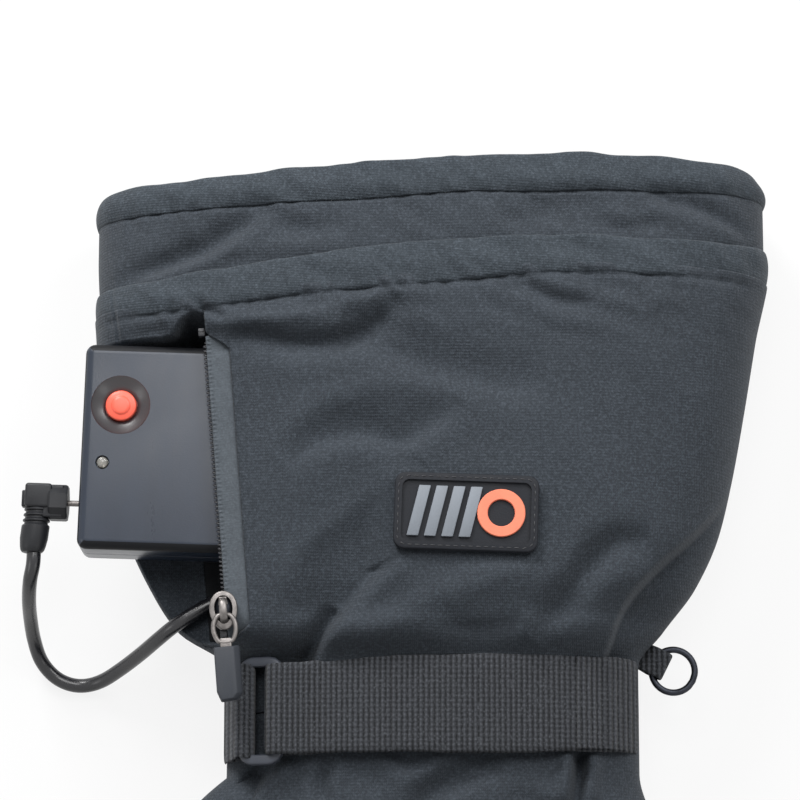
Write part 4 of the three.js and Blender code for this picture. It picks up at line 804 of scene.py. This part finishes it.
HAND_TIP, TIP_REACH = -HAND_LENGTH - 5.0, 13.0
s = -np.cos(np.linspace(0, math.pi, 190))
add_cloth("hand_back", tip_grid(s, True, 150, -WRIST_Y, HAND_TIP, TIP_REACH, lambda x, y, z, share:
                                drawn_in(z, share) + hand_rise(x, y, s) * share - 0.15),
          SHELL_THICK, "shell_nylon", "hand_back_panel", flip=True)
s = np.cos(np.linspace(0, math.pi, 130))
add_cloth("hand_palm", tip_grid(s, False, 150, PALM_SEAM - WRIST_Y, HAND_TIP, TIP_REACH, palm_height), SHELL_THICK,
          "palm_leather", "hand_palm_panel", flip=True)

# Thumb: a lofted finger turned out from the hand
THUMB_ROOT, THUMB_TURN = np.array((-34.0, -19.5)), math.radians(319)
s, upper = all_round(60, 40)


def thumb_height(x, y, z, share):
    soft = 0.6 * ripple(x, y, 24, 3.0) + 0.25 * ripple(x, y * 1.5, 9, 4.0)
    return drawn_in(z, share) + np.where(upper, soft * share * edge_share(s, 1.5, 0.05), 0)


thumb = tip_grid(s, upper, 80, 0.0, -THUMB_LENGTH - 5.0, TIP_REACH, thumb_height, table=thumb_rows)
turn_cos, turn_sin = math.cos(THUMB_TURN), math.sin(THUMB_TURN)
thumb[..., :2] = thumb[..., :2] @ np.array([(turn_cos, turn_sin), (-turn_sin, turn_cos)]) + THUMB_ROOT
add_cloth("thumb", thumb, SHELL_THICK, "shell_nylon", "thumb_panel", closed=True, flip=True)

# Inside: the fleece bag seen through the mouth, and the wadding round it
s, upper = all_round(90, 70)


def inner_bag(name, depth, thickness, end_y, slot, node, lumps):
    def height_of(x, y, z, share):
        rise = cloth_rise(x, y, s) if y[0] > 0 else hand_rise(x, y, s)
        pressed = smooth_min(z + np.minimum(0, rise), tub_height(x, y, depth), 1.5)
        z = drawn_in(np.where(upper, pressed, z), share)
        return z + lumps * ripple(x, y, 11, 2.0) * np.where(upper, 1, 0.4)
    grid = tip_grid(s, upper, 120, end_y, depth - HAND_LENGTH - 4.0, 12.0, height_of, depth)
    return add_cloth(name, grid, thickness, slot, node, closed=True, flip=True)


wadding = inner_bag("wadding_layer", 3.2, 1.6, 108, "wadding", "wadding", 0.2)
inner_bag("fleece_bag", 7.2, 1.0, 112, "fleece", "fleece_lining", 0.15)


# Zip: places on it are told as across from the toothed edge to the right, and along
TOOTH_PITCH = 1.15


def zip_place(across, along):
    return tuple(ZIP_LOW[i] + across * ZIP_ACROSS[i] + along * ZIP_ALONG[i] for i in (0, 1))


def coil(name, across, radius, wire, ends, height_of):
    """A spring of moulded thread: the teeth of a coil zip."""
    angles = np.arange(0, TURN * (ZIP_LENGTH - 2 * ends) / TOOTH_PITCH, math.pi / 5)
    along = ends + TOOTH_PITCH * angles / TURN
    x, y = zip_place(across + radius * np.cos(angles), along)
    return tube_object(name, np.column_stack([x, y, height_of(along) + radius * np.sin(angles)]), wire, 6)


# The right tape narrows and sinks with the cloth at its ends
along = np.linspace(-4, ZIP_LENGTH, 340)[:, None]
across = -0.15 + (1.15 + TAPE_WIDTH * inside_zip(zip_place(0, along)[1])) * np.linspace(0, 1, 30)
x, y = zip_place(across, along)
z = ZIP_Z - 0.1 + 0.28 * bell(across - 0.5, 0.5) * (1 + 0.5 * np.sin(TURN * along / TOOTH_PITCH))
z += 0.12 * np.sin(along * 0.21) + 0.07 * np.sin(along * 0.53 + 1.0) - 0.22 * bell(across - 4.9, 0.35)
z -= (1 - held(y)) * (ZIP_Z + 0.9 - top_height(y, share_at(x, y)))
add_cloth("zip_tape_edge", np.stack([x, y, z], axis=-1), 0.8, "zip_tape", "zip_tape_right")
teeth = coil("zip_coil_right", -0.35, 0.5, 0.25, 1.5, lambda along: ZIP_Z - 0.75)
add_piece(teeth, "mitten", "zip_teeth", "zip_teeth_right")

# The left tape and coil lie on the pressed strip. The left tape takes the near-black pocket look, not the tape's
# colour: a dark sheet as painted shade in the gap beside the pack
x, y = zip_place(np.linspace(-TAPE_WIDTH - 0.5, -1.5, 14), np.linspace(0, ZIP_LENGTH, 150)[:, None])
z = side_height(x, y, share_at(x, y)) - 0.05
add_cloth("zip_tape_under", np.stack([x, y, z], axis=-1), 0.9, "zip_tape", "zip_tape_left", look="pocket_cloth")
stations = np.linspace(0, ZIP_LENGTH, 80)
x, y = zip_place(-1.1, stations)
under_teeth = side_height(x, y, share_at(x, y)) - 0.45
teeth = coil("zip_coil_left", -1.1, 0.5, 0.24, 0.5, lambda along: np.interp(along, stations, under_teeth))
add_piece(teeth, "mitten", "zip_teeth", "zip_teeth_left")


# Hard pieces
def outline(width, height, corner, steps=6):
    """A rounded rectangle's points, anticlockwise round its middle."""
    return [(cx * (width / 2 - corner) + corner * math.cos(a), cy * (height / 2 - corner) + corner * math.sin(a))
            for cx, cy, start in ((1, -1, -90), (1, 1, 0), (-1, 1, 90), (-1, -1, 180))
            for a in np.radians(np.linspace(start, start + 90, steps + 1))]


def prism(points, z0, z1, bevel=0.0, segments=3, name="tool"):
    """An upright prism over an outline, its edges rounded."""
    obj = grid_object(name, np.array([[(x, y, z) for x, y in points] for z in (z0, z1)]), closed=True, capped=True)
    return rounded(obj, bevel, segments) if bevel else obj


def block(x0, x1, y0, y1, z0, z1, bevel=0.0, name="tool"):
    return prism([(x0, y0), (x1, y0), (x1, y1), (x0, y1)], z0, z1, bevel, 2, name)


def lathe(name, profile, sides, axis="Z"):
    """A turned solid from its profile of (radius, height); the ends on the axis close it."""
    verts, rings, faces = [], [], []
    for r, z in profile:
        points = [(r * math.cos(a), r * math.sin(a), z) for a in circle(sides)] if r else [(0, 0, z)]
        rings.append([len(verts) + i for i in range(len(points))] * (1 if r else sides))
        verts += points
    for a, b in zip(rings, rings[1:]):
        for i in range(sides):
            j = (i + 1) % sides
            faces.append(tuple(dict.fromkeys((a[i], a[j], b[j], b[i]))))
    if axis == "X":
        verts = [(z, x, y) for x, y, z in verts]
    elif axis == "Y":
        verts = [(x, z, -y) for x, y, z in verts]
    return mesh_object(name, verts, faces)


def joined(name, *objects):
    """Several meshes as one object."""
    target = bmesh.new()
    for obj in objects:
        target.from_mesh(obj.data)
        bpy.data.objects.remove(obj)
    mesh = bpy.data.meshes.new(name)
    target.to_mesh(mesh)
    target.free()
    return in_scene(name, mesh)


def cut(obj, tool, operation="DIFFERENCE"):
    bake(obj, "BOOLEAN", operation=operation, object=tool, solver="EXACT")
    bpy.data.objects.remove(tool)
    return obj


def wire_ring(name, points, radius, sides=10):
    """A closed wire through points."""
    path = spline(points + points[:1], 6)[:-1]
    tangents = np.roll(path, -1, axis=0) - np.roll(path, 1, axis=0)
    tangents /= np.linalg.norm(tangents, axis=1)[:, None]
    side = np.cross(tangents, (0, 0, 1.0))
    side /= np.linalg.norm(side, axis=1)[:, None]
    up = np.cross(side, tangents)
    cos, sin = (radius * values[None, :, None] for values in (np.cos(circle(sides)), np.sin(circle(sides))))
    return grid_object(name, path[:, None] + side[:, None] * cos + up[:, None] * sin, closed=True, ring=True)


def add_hard(obj, matrix, sharp, body, slot, *nodes, look=None):
    """A hard piece, put in its place, with edges sharper than an angle left sharp."""
    return add_piece(sharpen(place(obj, matrix), sharp), body, slot, *nodes, look=look)


# Zip slider, its puller and the rubber grip, told from the slider's middle in the zip's frame
SLIDER_ACROSS, SLIDER_ALONG = -0.65, 4.6
zip_turn = -math.degrees(math.atan2(ZIP_TOP[0] - ZIP_LOW[0], ZIP_TOP[1] - ZIP_LOW[1]))
slider_matrix = turned(*zip_place(SLIDER_ACROSS, SLIDER_ALONG), 0, zip_turn)


def oval(width, length, back=0.0):
    """An egg shape, narrower toward its lower end."""
    return [(width / 2 * math.cos(a) * (1 + 0.12 * math.sin(a)), back + length / 2 * math.sin(a)) for a in circle(28)]


upper_wing = prism(oval(7.5, 10.6), 50.15, 51.6, 0.45)
cut(upper_wing, prism(oval(4.9, 7.6, 0.2), 50.95, 52.5))
lower_wing = prism(oval(7.4, 9.8), 46.45, 47.65, 0.38)
post = block(-2.45, -1.3, -2.4, 4.2, 47.3, 50.5, 0.3)
latch = prism([(-1.3, 1.4), (1.3, 1.4), (1.0, 3.6), (-1.0, 3.6)], 50.9, 51.9, 0.25, 2)
bridge_rings = tube_points(spline([
    (0, -3.0, 51.2), (0, -2.85, 52.3), (0, -2.3, 53.2), (0, -1.2, 53.75), (0, 0.4, 53.8), (0, 1.8, 53.4),
    (0, 2.7, 52.5), (0, 3.0, 51.2)], 5), 0.5, 12)
bridge_rings[:, :, 0] *= 2.1
slider = joined("slider", upper_wing, lower_wing, post, latch, grid_object("bridge", bridge_rings, closed=True))
add_hard(slider, slider_matrix, 45, "zip_slider", "nickel", "zip_slider")
well = prism(oval(4.8, 7.5, 0.2), 50.7, 51.0, name="slider_well")
add_piece(place(well, slider_matrix), "zip_slider", "dark_metal")

PIN_ALONG, PIN_Z, ARM_END = -1.2, 52.35, -7.6
link_half = [(1.7, PIN_ALONG - 0.4, PIN_Z), (2.8, PIN_ALONG - 2.2, PIN_Z + 0.1), (2.9, PIN_ALONG - 4.6, PIN_Z + 0.1),
             (1.9, ARM_END - 0.6, PIN_Z)]
link_points = [(0, PIN_ALONG, PIN_Z), *link_half, (0, ARM_END - 1.2, PIN_Z)]
link_points += [(-x, y, z) for x, y, z in link_half[::-1]]
tongue = block(-1.5, 1.5, ARM_END - 8.0, ARM_END, PIN_Z - 0.55, PIN_Z + 0.55, 0.25)
puller = joined("puller", wire_ring("link", link_points, 0.65), tongue)
add_hard(puller, slider_matrix, 45, "zip_puller", "nickel", "zip_puller")

GRIP_TOP, GRIP_END = -9.8, -24.4
grip_foot = [(-2.3, GRIP_END), (1.9, GRIP_END + 0.3), (3.5, GRIP_END + 2.0), (3.5, GRIP_TOP), (-3.3, GRIP_TOP),
             (-3.3, GRIP_END + 2.6)]
grip_face = [(-2.1, GRIP_END + 0.3), (0.9, GRIP_END + 0.6), (2.0, GRIP_END + 1.9), (2.0, GRIP_TOP - 0.3),
             (-3.1, GRIP_TOP - 0.3), (-3.1, GRIP_END + 2.8)]
grip_levels = [[(x, y, PIN_Z + z) for x, y in points]
               for points, z in ((grip_foot, -1.7), (grip_foot, 0.2), (grip_face, 1.7))]
grip = rounded(grid_object("puller_grip", np.array(grip_levels), closed=True, capped=True), 0.3, 3, 20)
add_hard(grip, slider_matrix, 30, "zip_puller", "rubber", "zip_grip")

# Stops at the ends of the zip, each with a groove across
for name, along, node in (("stop_top", ZIP_LENGTH + 0.3, "zip_top_stop"), ("stop_bottom", -2.5, "zip_bottom_stop")):
    stop = block(-2.0, -0.25, along, along + 2.2, 47.8, 50.0, 0.3, name=name)
    cut(stop, block(-2.4, 0.2, along + 0.95, along + 1.25, 49.75, 50.4))
    add_hard(stop, turned(*ZIP_LOW, 0, zip_turn), 40, "mitten", "dark_metal", node, look="zip_teeth")


# Wrist strap: ribbed elastic, along the wrist, round the buckle's bar and back over itself
BAR_RADIUS = 1.4
STRAP_WIDTH, STRAP_THICK, STRAP_RISE = 25.4, 1.7, 0.3
UPPER_RISE = STRAP_RISE + STRAP_THICK + 0.35
FOLD_X, CREASE_X = -41.6, -11.9
FOLD_RADIUS = BAR_RADIUS * math.sqrt(2) + 0.1 + STRAP_THICK / 2


def wrist_height(x, rise):
    _, _, height, power = row_values(bag_rows, 0.0)
    return float(SEAM + (height + rise - SEAM) * crown(share_at(x, 0.0), power))


def wrist_line(x0, x1, rise, count):
    return [(x, wrist_height(x, rise)) for x in np.linspace(x0, x1, count)]


def fold_arc(x, z, radius, start, end, count):
    return [(x + radius * math.cos(a), z + radius * math.sin(a)) for a in np.radians(np.linspace(start, end, count))]


def even_line(points, step):
    """The line walked in even steps, and how far each step is along it."""
    points = np.array(points, float)
    lengths = np.concatenate([[0], np.cumsum(np.linalg.norm(np.diff(points, axis=0), axis=1))])
    stations = np.linspace(0, lengths[-1], int(lengths[-1] / step) + 1)
    return np.column_stack([np.interp(stations, lengths, column) for column in points.T]), stations


def ribbon(name, line, width, thickness, rib, pitch=RIB_PITCH, step=0.24, drift=None, edge_wave=0.1, columns=26):
    """A strap along a line in X and Z: ribs across it, rounded selvages, closed all round. Drift gives the shift in Y
    and the width's share at places in X, for a strap with a crease where it is pressed."""
    path, stations = even_line(line, step)
    for _ in range(3):
        path[1:-1] = (path[:-2] + 2 * path[1:-1] + path[2:]) / 4
    tangents = np.gradient(path, axis=0)
    tangents /= np.linalg.norm(tangents, axis=1)[:, None]
    share = -np.cos(np.linspace(0, math.pi, columns))
    selvage = np.maximum(np.sqrt(np.clip(1 - np.abs(share) ** 14, 0, 1)), 0.12)
    ribs = rib * np.abs(np.sin(math.pi * stations / pitch)) ** 0.7
    thick = (thickness / 2 - rib + ribs)[:, None] * selvage
    y = edge_wave * (np.sin(stations * 0.31) + 0.5 * np.sin(stations * 0.83 + 1.0))[:, None] + share * width / 2
    if drift:
        moved, kept = (np.interp(path[:, :1], drift[0], values) for values in drift[1:])
        y += moved + share * width / 2 * (kept - 1)
        thick = thick - 0.35 * bell(path[:, :1] - CREASE_X, 0.5)
    up, down = (np.stack([path[:, :1] - tangents[:, 1:] * t, y, path[:, 1:] + tangents[:, :1] * t], axis=-1)
                for t in (thick, -thick))
    grid = np.concatenate([up, down[:, ::-1]], axis=1)
    rows, ring = grid.shape[:2]
    faces = grid_faces(rows, ring, closed=True)
    faces += [(first + c, first + c + 1, first + ring - 2 - c, first + ring - 1 - c)
              for first in (0, (rows - 1) * ring) for c in range(columns - 1)]
    return outward(mesh_object(name, grid.reshape(-1, 3).tolist(), faces))


FOLD_Z = wrist_height(FOLD_X, STRAP_RISE) + FOLD_RADIUS + STRAP_THICK / 2
STRAP_DRIFT = ((-46, -30, -12, 16, 54), (0.1, 0.8, 1.4, 1.5, 2.4), (0.95, 0.97, 1.0, 1.04, 0.99))
STRAP_FOOT, STRAP_END, FOLD_START = 54.6, 53.0, FOLD_X + 12
strap_line = wrist_line(STRAP_FOOT, FOLD_START, STRAP_RISE + STRAP_THICK / 2, 60) \
    + fold_arc(FOLD_X, FOLD_Z, FOLD_RADIUS, 262, 98, 20) \
    + wrist_line(FOLD_START, STRAP_END, UPPER_RISE + STRAP_THICK / 2, 60)
strap = ribbon("wrist_strap_webbing", strap_line, STRAP_WIDTH, STRAP_THICK, 0.3, drift=STRAP_DRIFT)
add_piece(strap, "mitten", "webbing", "wrist_strap")
hook_line = wrist_line(38.0, STRAP_END - 0.1, UPPER_RISE + STRAP_THICK + 0.75, 20)
hook_tab = ribbon("hook_tab", hook_line, STRAP_WIDTH - 1.0, 0.9, 0.3, drift=STRAP_DRIFT, edge_wave=0.06)
add_piece(hook_tab, "mitten", "webbing", "strap_end_stitching")


# Buckle: a moulded ring tilted down the side of the wrist, told from the strap's bar
def squared(share):
    return BAR_RADIUS * np.sign(share) * np.abs(share) ** 0.55


BUCKLE_TILT = math.radians(16)
ring_width, ring_length = 12.4 - 2 * BAR_RADIUS, 29.0 - 2 * BAR_RADIUS
path = np.array(outline(ring_width, ring_length, 2.6, 4))
along = np.roll(path, -1, axis=0) - np.roll(path, 1, axis=0)
along /= np.linalg.norm(along, axis=1)[:, None]
reach, rise = squared(np.cos(circle(24))), squared(np.sin(circle(24)))
buckle_rings = np.stack([path[:, :1] + along[:, 1:] * reach - ring_width / 2, path[:, 1:] - along[:, :1] * reach,
                         np.broadcast_to(rise, (len(path), 24))], axis=-1)
buckle = outward(grid_object("strap_ring", buckle_rings, closed=True, ring=True))
add_hard(buckle, shift(FOLD_X, 0, FOLD_Z) @ Matrix.Rotation(-BUCKLE_TILT, 4, "Y"), 60, "mitten", "buckle_plastic",
         "strap_buckle")

# Anchor webbing: from the left seam to an eye round the buckle's other bar
anchor_line = [(-56.2, wrist_height(-55.6, 0.9))] + wrist_line(-55.0, -52.6, 1.4, 4)
anchor_eye = fold_arc(FOLD_X - ring_width * math.cos(BUCKLE_TILT), FOLD_Z - ring_width * math.sin(BUCKLE_TILT),
                      BAR_RADIUS * math.sqrt(2) + 0.5, -70, 205, 26)
anchor_back = [(-56.3, wrist_height(-55.4, 1.6)), (-56.5, wrist_height(-55.8, 0.4) - 1.0)]
anchor = ribbon("anchor_webbing", anchor_line + anchor_eye + anchor_back, STRAP_WIDTH - 0.3, 1.1, 0.16)
add_piece(anchor, "mitten", "webbing", "strap_anchor")

# Tether ring and the folded tape that holds it
RING_RADIUS = 5.9
ring_matrix = turned(65.6, 13.4, 17.0, -26.6)
ring_circle = [(RING_RADIUS * math.cos(a), RING_RADIUS * math.sin(a), 0) for a in circle(16)]
add_piece(place(wire_ring("tether_ring_wire", ring_circle, 0.9, 16), ring_matrix), "tether_ring", "dark_metal",
          "tether_ring")
tab_end = [(-14.0, 0.45), (-8.6, 0.6), (-6.6, 2.1)]
tab_line = [(x, -z) for x, z in tab_end] + fold_arc(-4.4, 0, 2.2, -95, 95, 20) + tab_end[::-1]
tab = ribbon("tether_tape", tab_line, 7.6, 0.8, 0.14, pitch=0.9, step=0.2, edge_wave=0.03, columns=16)
add_piece(place(tab, ring_matrix), "mitten", "webbing", "tether_tab")


# Patch: a rimmed moulding sewn on, with slanted bars and an open ring in its field
def stitches(name, places, directions, length, radius, lift):
    """Short raised threads at places, each lying level in a direction."""
    verts, faces = [], []
    for spot, direction in zip(places, directions):
        direction = direction / np.linalg.norm(direction)
        side, up = np.cross((0, 0, 1.0), direction), np.array((0, 0, 1.0))
        faces += [tuple(len(verts) + i for i in face)
                  for face in grid_faces(5, 6, closed=True) + [(5, 4, 3, 2, 1, 0), (24, 25, 26, 27, 28, 29)]]
        for t, swell in ((-0.5, 0.35), (-0.36, 0.85), (0, 1.0), (0.36, 0.85), (0.5, 0.35)):
            centre = spot + direction * t * length + up * (lift - (2 * t) ** 2 * radius * 0.8)
            verts += [centre + radius * swell * (side * math.cos(a) + up * math.sin(a)) for a in circle(6)]
    return mesh_object(name, verts, faces)


patch_matrix = turned(*PATCH_AT, 54.3, -2)
PATCH_TOP = 2.2
plate = prism(outline(*PATCH_SIZE, 3.0), -0.35, PATCH_TOP, 0.45, name="patch_plate")
cut(plate, prism(outline(PATCH_SIZE[0] - 4, PATCH_SIZE[1] - 4, 2.0), 1.3, 3.2))
add_hard(plate, patch_matrix, 40, "mitten", "patch_base", "patch_base")
border = outline(PATCH_SIZE[0] - 2.1, PATCH_SIZE[1] - 2.1, 2.5, 8)
walked, _ = even_line([(x, y, PATCH_TOP) for x, y in border + border[:1]], 2.0)
threads = stitches("patch_threads", walked[:-1], np.gradient(walked, axis=0)[:-1], 1.45, 0.17, 0.05)
add_piece(place(threads, patch_matrix), "mitten", "zip_teeth")
bars = [prism([(x, -6.8), (x + 3.1, -6.8), (x + 6.1, 6.8), (x + 3.0, 6.8)], 1.25, 2.25, 0.22, 2)
        for x in np.linspace(-15.7, -1.894, 4)]
add_hard(joined("patch_slats", *bars), patch_matrix, 40, "mitten", "patch_grey", "patch_bars")
roundel = lathe("patch_ring", [(3.6, 1.25), (6.4, 1.25), (6.4, 2.05), (6.2, 2.25), (3.8, 2.25), (3.6, 2.05),
                               (3.6, 1.25)], 72)
add_hard(roundel, patch_matrix @ shift(9.3, 0), 40, "mitten", "patch_orange", "patch_roundel")


# Battery pack, told from its middle with Z from its back
PACK_LENGTH, PACK_WIDTH, PACK_THICK, PACK_FILLET = 64.0, 56.0, 19.0, 2.4
pack_matrix = turned(-63.2, 70.3, 26.0, -1.9)
button_shift, led_shift, jack_shift = shift(-21.8, 11.3), shift(-26.0, -4.6), shift(0, -14.6, 9.5)

levels = [(0.0, 0.5), (0.15, 0.15), (0.5, 0.0), (8.0, 0.0), (8.06, 0.22), (8.4, 0.22), (8.46, 0.0)]
levels += [(PACK_THICK - PACK_FILLET + PACK_FILLET * math.sin(a), PACK_FILLET * (1 - math.cos(a)))
           for a in np.linspace(0, math.pi / 2, 9)]
shells = [[(x, y, z) for x, y in outline(PACK_LENGTH - 2 * inset, PACK_WIDTH - 2 * inset, max(0.35, 2.6 - inset))]
          for z, inset in levels]
case = grid_object("pack_housing", np.array(shells), closed=True, capped=True)

# Hollowed out: the cells' bay, the room for board and switch, and the door's channel; then the button's collar
ROOM_X, ROOM_Y, ROOM_TOP, CHANNEL_Y, CHANNEL_TOP, BELOW = 30.4, 26.4, 17.4, 25.3, 1.9, -1.0
cut(case, block(-14.9, ROOM_X, -ROOM_Y, ROOM_Y, BELOW, ROOM_TOP))
cut(case, block(-ROOM_X, -16.5, -ROOM_Y, ROOM_Y, CHANNEL_TOP, ROOM_TOP))
cut(case, block(-60, ROOM_X, -CHANNEL_Y, CHANNEL_Y, BELOW, CHANNEL_TOP))
cut(case, place(lathe("tool", [(0, 15.8), (8.6, 15.8), (8.6, 17.8), (0, 17.8)], 56), button_shift), "UNION")
for matrix, sides, axis, profile in (
    (button_shift, 56, "Z", [(0, 10), (4.4, 10), (4.4, 16.9), (4.75, 17.05), (7.75, 18.72), (8.05, 19.06), (8.05, 20),
                             (0, 20)]),
    (led_shift, 36, "Z", [(0, 15), (1.75, 15), (1.75, 18.85), (1.95, 19.05), (1.95, 20), (0, 20)]),
    (jack_shift, 28, "X", [(0, -33), (1.9, -33), (1.9, -31.9), (1.6, -31.7), (1.6, -20), (0, -20)]),
):
    cut(case, place(lathe("tool", profile, sides, axis), matrix))
add_hard(case, pack_matrix, 28, "battery_pack", "case_plastic", "pack_case")

# The rounded top edges take a darker, duller material: painted shade for the dark band that these fillets show; a mesh
# itself is in metres
case.data.materials.append(looks["case_edge_painted_shade"])
for polygon in case.data.polygons:
    across, along = abs(polygon.normal.x), abs(polygon.normal.y)
    if polygon.center.z > 0.0425 and 0.05 < polygon.normal.z < 0.985 and (along > across or across > 0.82):
        polygon.material_index = 1

door = place(prism(outline(62.1, 50.0, 1.6), 0.0, 1.6, 0.3, 2, "door_plate"), shift(-0.95, 0))
for x in 1.8 * np.arange(5) - 27.0:
    cut(door, block(x, x + 0.8, -9, 9, -0.5, 0.45))
add_hard(door, pack_matrix, 35, "battery_door", "case_plastic", "battery_door")

for name, matrix, sides, sharp, body, slot, nodes, look, profile in (
    ("button_cap", button_shift, 64, 50, "power_button", "button_red", ["power_button"], None,
     [(0, 14.7), (5.25, 14.7), (5.25, 15.5), (4.15, 15.5), (4.15, 17.75), (4.05, 18.0), (3.8, 18.16), (2.85, 18.2),
      (2.62, 18.26), (2.45, 18.45), (2.2, 18.62), (1.7, 18.7), (0, 18.72)]),
    ("button_dish", button_shift, 72, 40, "battery_pack", "case_plastic", [], "dish_gloss",
     [(4.42, 16.8), (4.42, 16.93), (4.76, 17.08), (7.76, 18.76), (8.0, 19.05), (8.0, 18.9), (7.8, 18.6), (4.8, 16.85),
      (4.42, 16.8)]),
    ("led_lens", led_shift, 36, 50, "battery_pack", "led_clear", ["indicator_led"], None,
     [(0, 16.5), (2.1, 16.5), (2.1, 17.1), (1.5, 17.1), (1.5, 18.6), (1.42, 18.95), (1.15, 19.18), (0.7, 19.28),
      (0, 19.3)]),
    ("led_cup", led_shift, 24, 50, "battery_pack", "nickel", [], None,
     [(0, 17.3), (0.35, 17.3), (1.05, 18.1), (1.2, 18.1), (1.2, 17.2), (0.9, 16.9), (0, 16.9)]),
):
    add_hard(lathe(name, profile, sides), pack_matrix @ matrix, sharp, body, slot, *nodes, look=look)


# Right-angled plug, its metal barrel and the cord
stem_profile = [(0, -13.9), (2.2, -13.9), (2.8, -13.7), (3.25, -13.1), (3.5, -12.1), (3.8, -10.0), (3.8, -6.6),
                (3.55, -6.3)]
for y in 1.5 * np.arange(4) - 6.0:
    stem_profile += [(3.2, y), (3.2, y + 0.45), (3.68, y + 0.7), (3.68, y + 1.1)]
stem = lathe("stem", stem_profile + [(3.2, 0.4), (3.2, 1.6), (0, 1.6)], 40, "Y")
for vertex in stem.data.vertices:
    vertex.co.x += 0.09 * min(0.0, vertex.co.y)
elbow = prism(outline(7.3, 6.6, 0.9, 5), -3.7, 3.7, 0.7)
neck = prism(outline(5.6, 8.9, 0.5, 4), -2.6, 3.1, 0.9)
head = lathe("head", [(0, -40.6), (4.7, -40.6), (5.1, -40.1), (5.1, -36.0), (4.8, -35.5), (1.0, -35.45), (1.0, -36.6),
                      (0, -36.6)], 8, "X")
fin = prism(outline(1.6, 4.6, 0.4, 3), -1.6, 1.6, 0.3, 2)
plug = joined("power_plug_body", place(stem, shift(-43.4, 0)), place(elbow, shift(-43.4, 1.55)),
              place(neck, shift(-39.4, 0.1)), place(head, Matrix.Rotation(TURN / 16, 4, "X")),
              place(fin, shift(-47.3, 0.9, -0.6)))
add_hard(outward(plug), pack_matrix @ jack_shift, 30, "power_plug", "plug_plastic", "plug_body")
barrel = lathe("plug_pin", [(0, -36.5), (0.8, -36.5), (0.8, -24.2), (0.68, -24.2), (0.68, -23.9), (0.8, -23.8),
                            (0.8, -23.2), (0.6, -23.0), (0, -23.0)], 32, "X")
add_hard(barrel, pack_matrix @ jack_shift, 40, "power_plug", "nickel", "plug_barrel")

CORD_RADIUS = 1.95
CORD_ROUTE = [
    (-108.2, 44.1, 35.5), (-108.4, 40.2, 35.3), (-109.4, 36.2, 32.6), (-110.3, 32, 25.5), (-110.7, 28, 16.5),
    (-110.4, 23.2, 8.6), (-108.8, 18, 4), (-105.4, 13.9, 2.4), (-101.2, 11.6, 2.3), (-96.6, 11.1, 2.4),
    (-91.6, 12.3, 4.2), (-86, 15, 9.5), (-80.2, 18.2, 16.8), (-75, 21.4, 23.8), (-70.4, 24.4, 28.2), (-65, 27.8, 29),
    (-59.5, 30.8, 28.8), (-54.4, 32.6, 28.7), (-50.4, 33.4, 28.7),
]
cord_path = spline(CORD_ROUTE[::-1], 6)
cord = tube_object("power_cord_run", cord_path, CORD_RADIUS, 20)
cord_metres = [tuple(c * MM for c in p) for p in cord_path]
cord_length = sum(math.dist(a, b) for a, b in zip(cord_metres, cord_metres[1:]))
cord.data.materials.append(looks["cord_pvc"])
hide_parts("power_cord")
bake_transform(cord)
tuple(cord_metres[0])


# What stays as the CAD has it gets its material here: pieces inside the pack and the bag
CAD_LOOKS = {
    "rubber": ["cord_strain_relief"], "board_green": ["circuit_board"], "buckle_plastic": ["push_switch"],
    "plug_plastic": ["power_socket"], "cell_wrap": ["battery_cell_1", "battery_cell_2", "battery_cell_3"],
    "nickel": ["cell_contacts_near", "cell_contacts_far"], "heater_film": ["heating_pad"],
    "heater_wire": ["heating_wire", "heater_lead"],
}
for look, names in CAD_LOOKS.items():
    for name in names:
        for material_slot in bpy.data.objects[name].material_slots:
            material_slot.material = looks[look]


# Floor and background, which the camera sees as white, and the lamps, placed in metres
WHITE = (1, 1, 1, 1)
FLOOR_HALF, FLOOR_Z, FLOOR_GLOW = 8000, -0.5, 0.86
floor = mesh_object("floor", [(x * FLOOR_HALF, y * FLOOR_HALF, FLOOR_Z)
                              for x, y in ((-1, -1), (1, -1), (1, 1), (-1, 1))], [(0, 1, 2, 3)])
made = Nodes(bpy.data.materials.new("floor"))
made.finish((0.9, 0.9, 0.9, 1), 0.9)
made.show(made.sum(made.seen(), FLOOR_GLOW, "MULTIPLY"), made.shader.outputs["BSDF"],
          made.add("Emission", {"Color": WHITE}))
floor.data.materials.append(made.owner)

bpy.context.scene.world = bpy.data.worlds.new("world")
made = Nodes(bpy.context.scene.world)
AMBIENT, FULL = 0.13, 1.0
made.show(made.seen(), *(made.add("Background", {"Color": WHITE, "Strength": strength})
                         for strength in (AMBIENT, FULL)))

AIM = Vector((0, 0.06, 0.03))
for name, spot, size, power in (
    ("softbox", (-0.08, 0.55, 1.2), 0.5, 4.6),
    ("key", (-0.4, 0.86, 0.62), 0.35, 9.4),
    ("fill", (0.5, 0.6, 0.8), 0.5, 5.4),
    ("glint", (0.61, -0.42, 0.6), 0.36, 0.45),
    ("sparkle", (-0.88, -0.2, 0.56), 0.4, 0.9),
):
    lamp = in_scene(name, bpy.data.lights.new(name, "AREA"))
    lamp.data.size, lamp.data.energy = size, power
    lamp.location = spot
    lamp.rotation_euler = (AIM - lamp.location).to_track_quat("-Z", "Y").to_euler()
bpy.context.scene.view_settings.view_transform = "Standard"
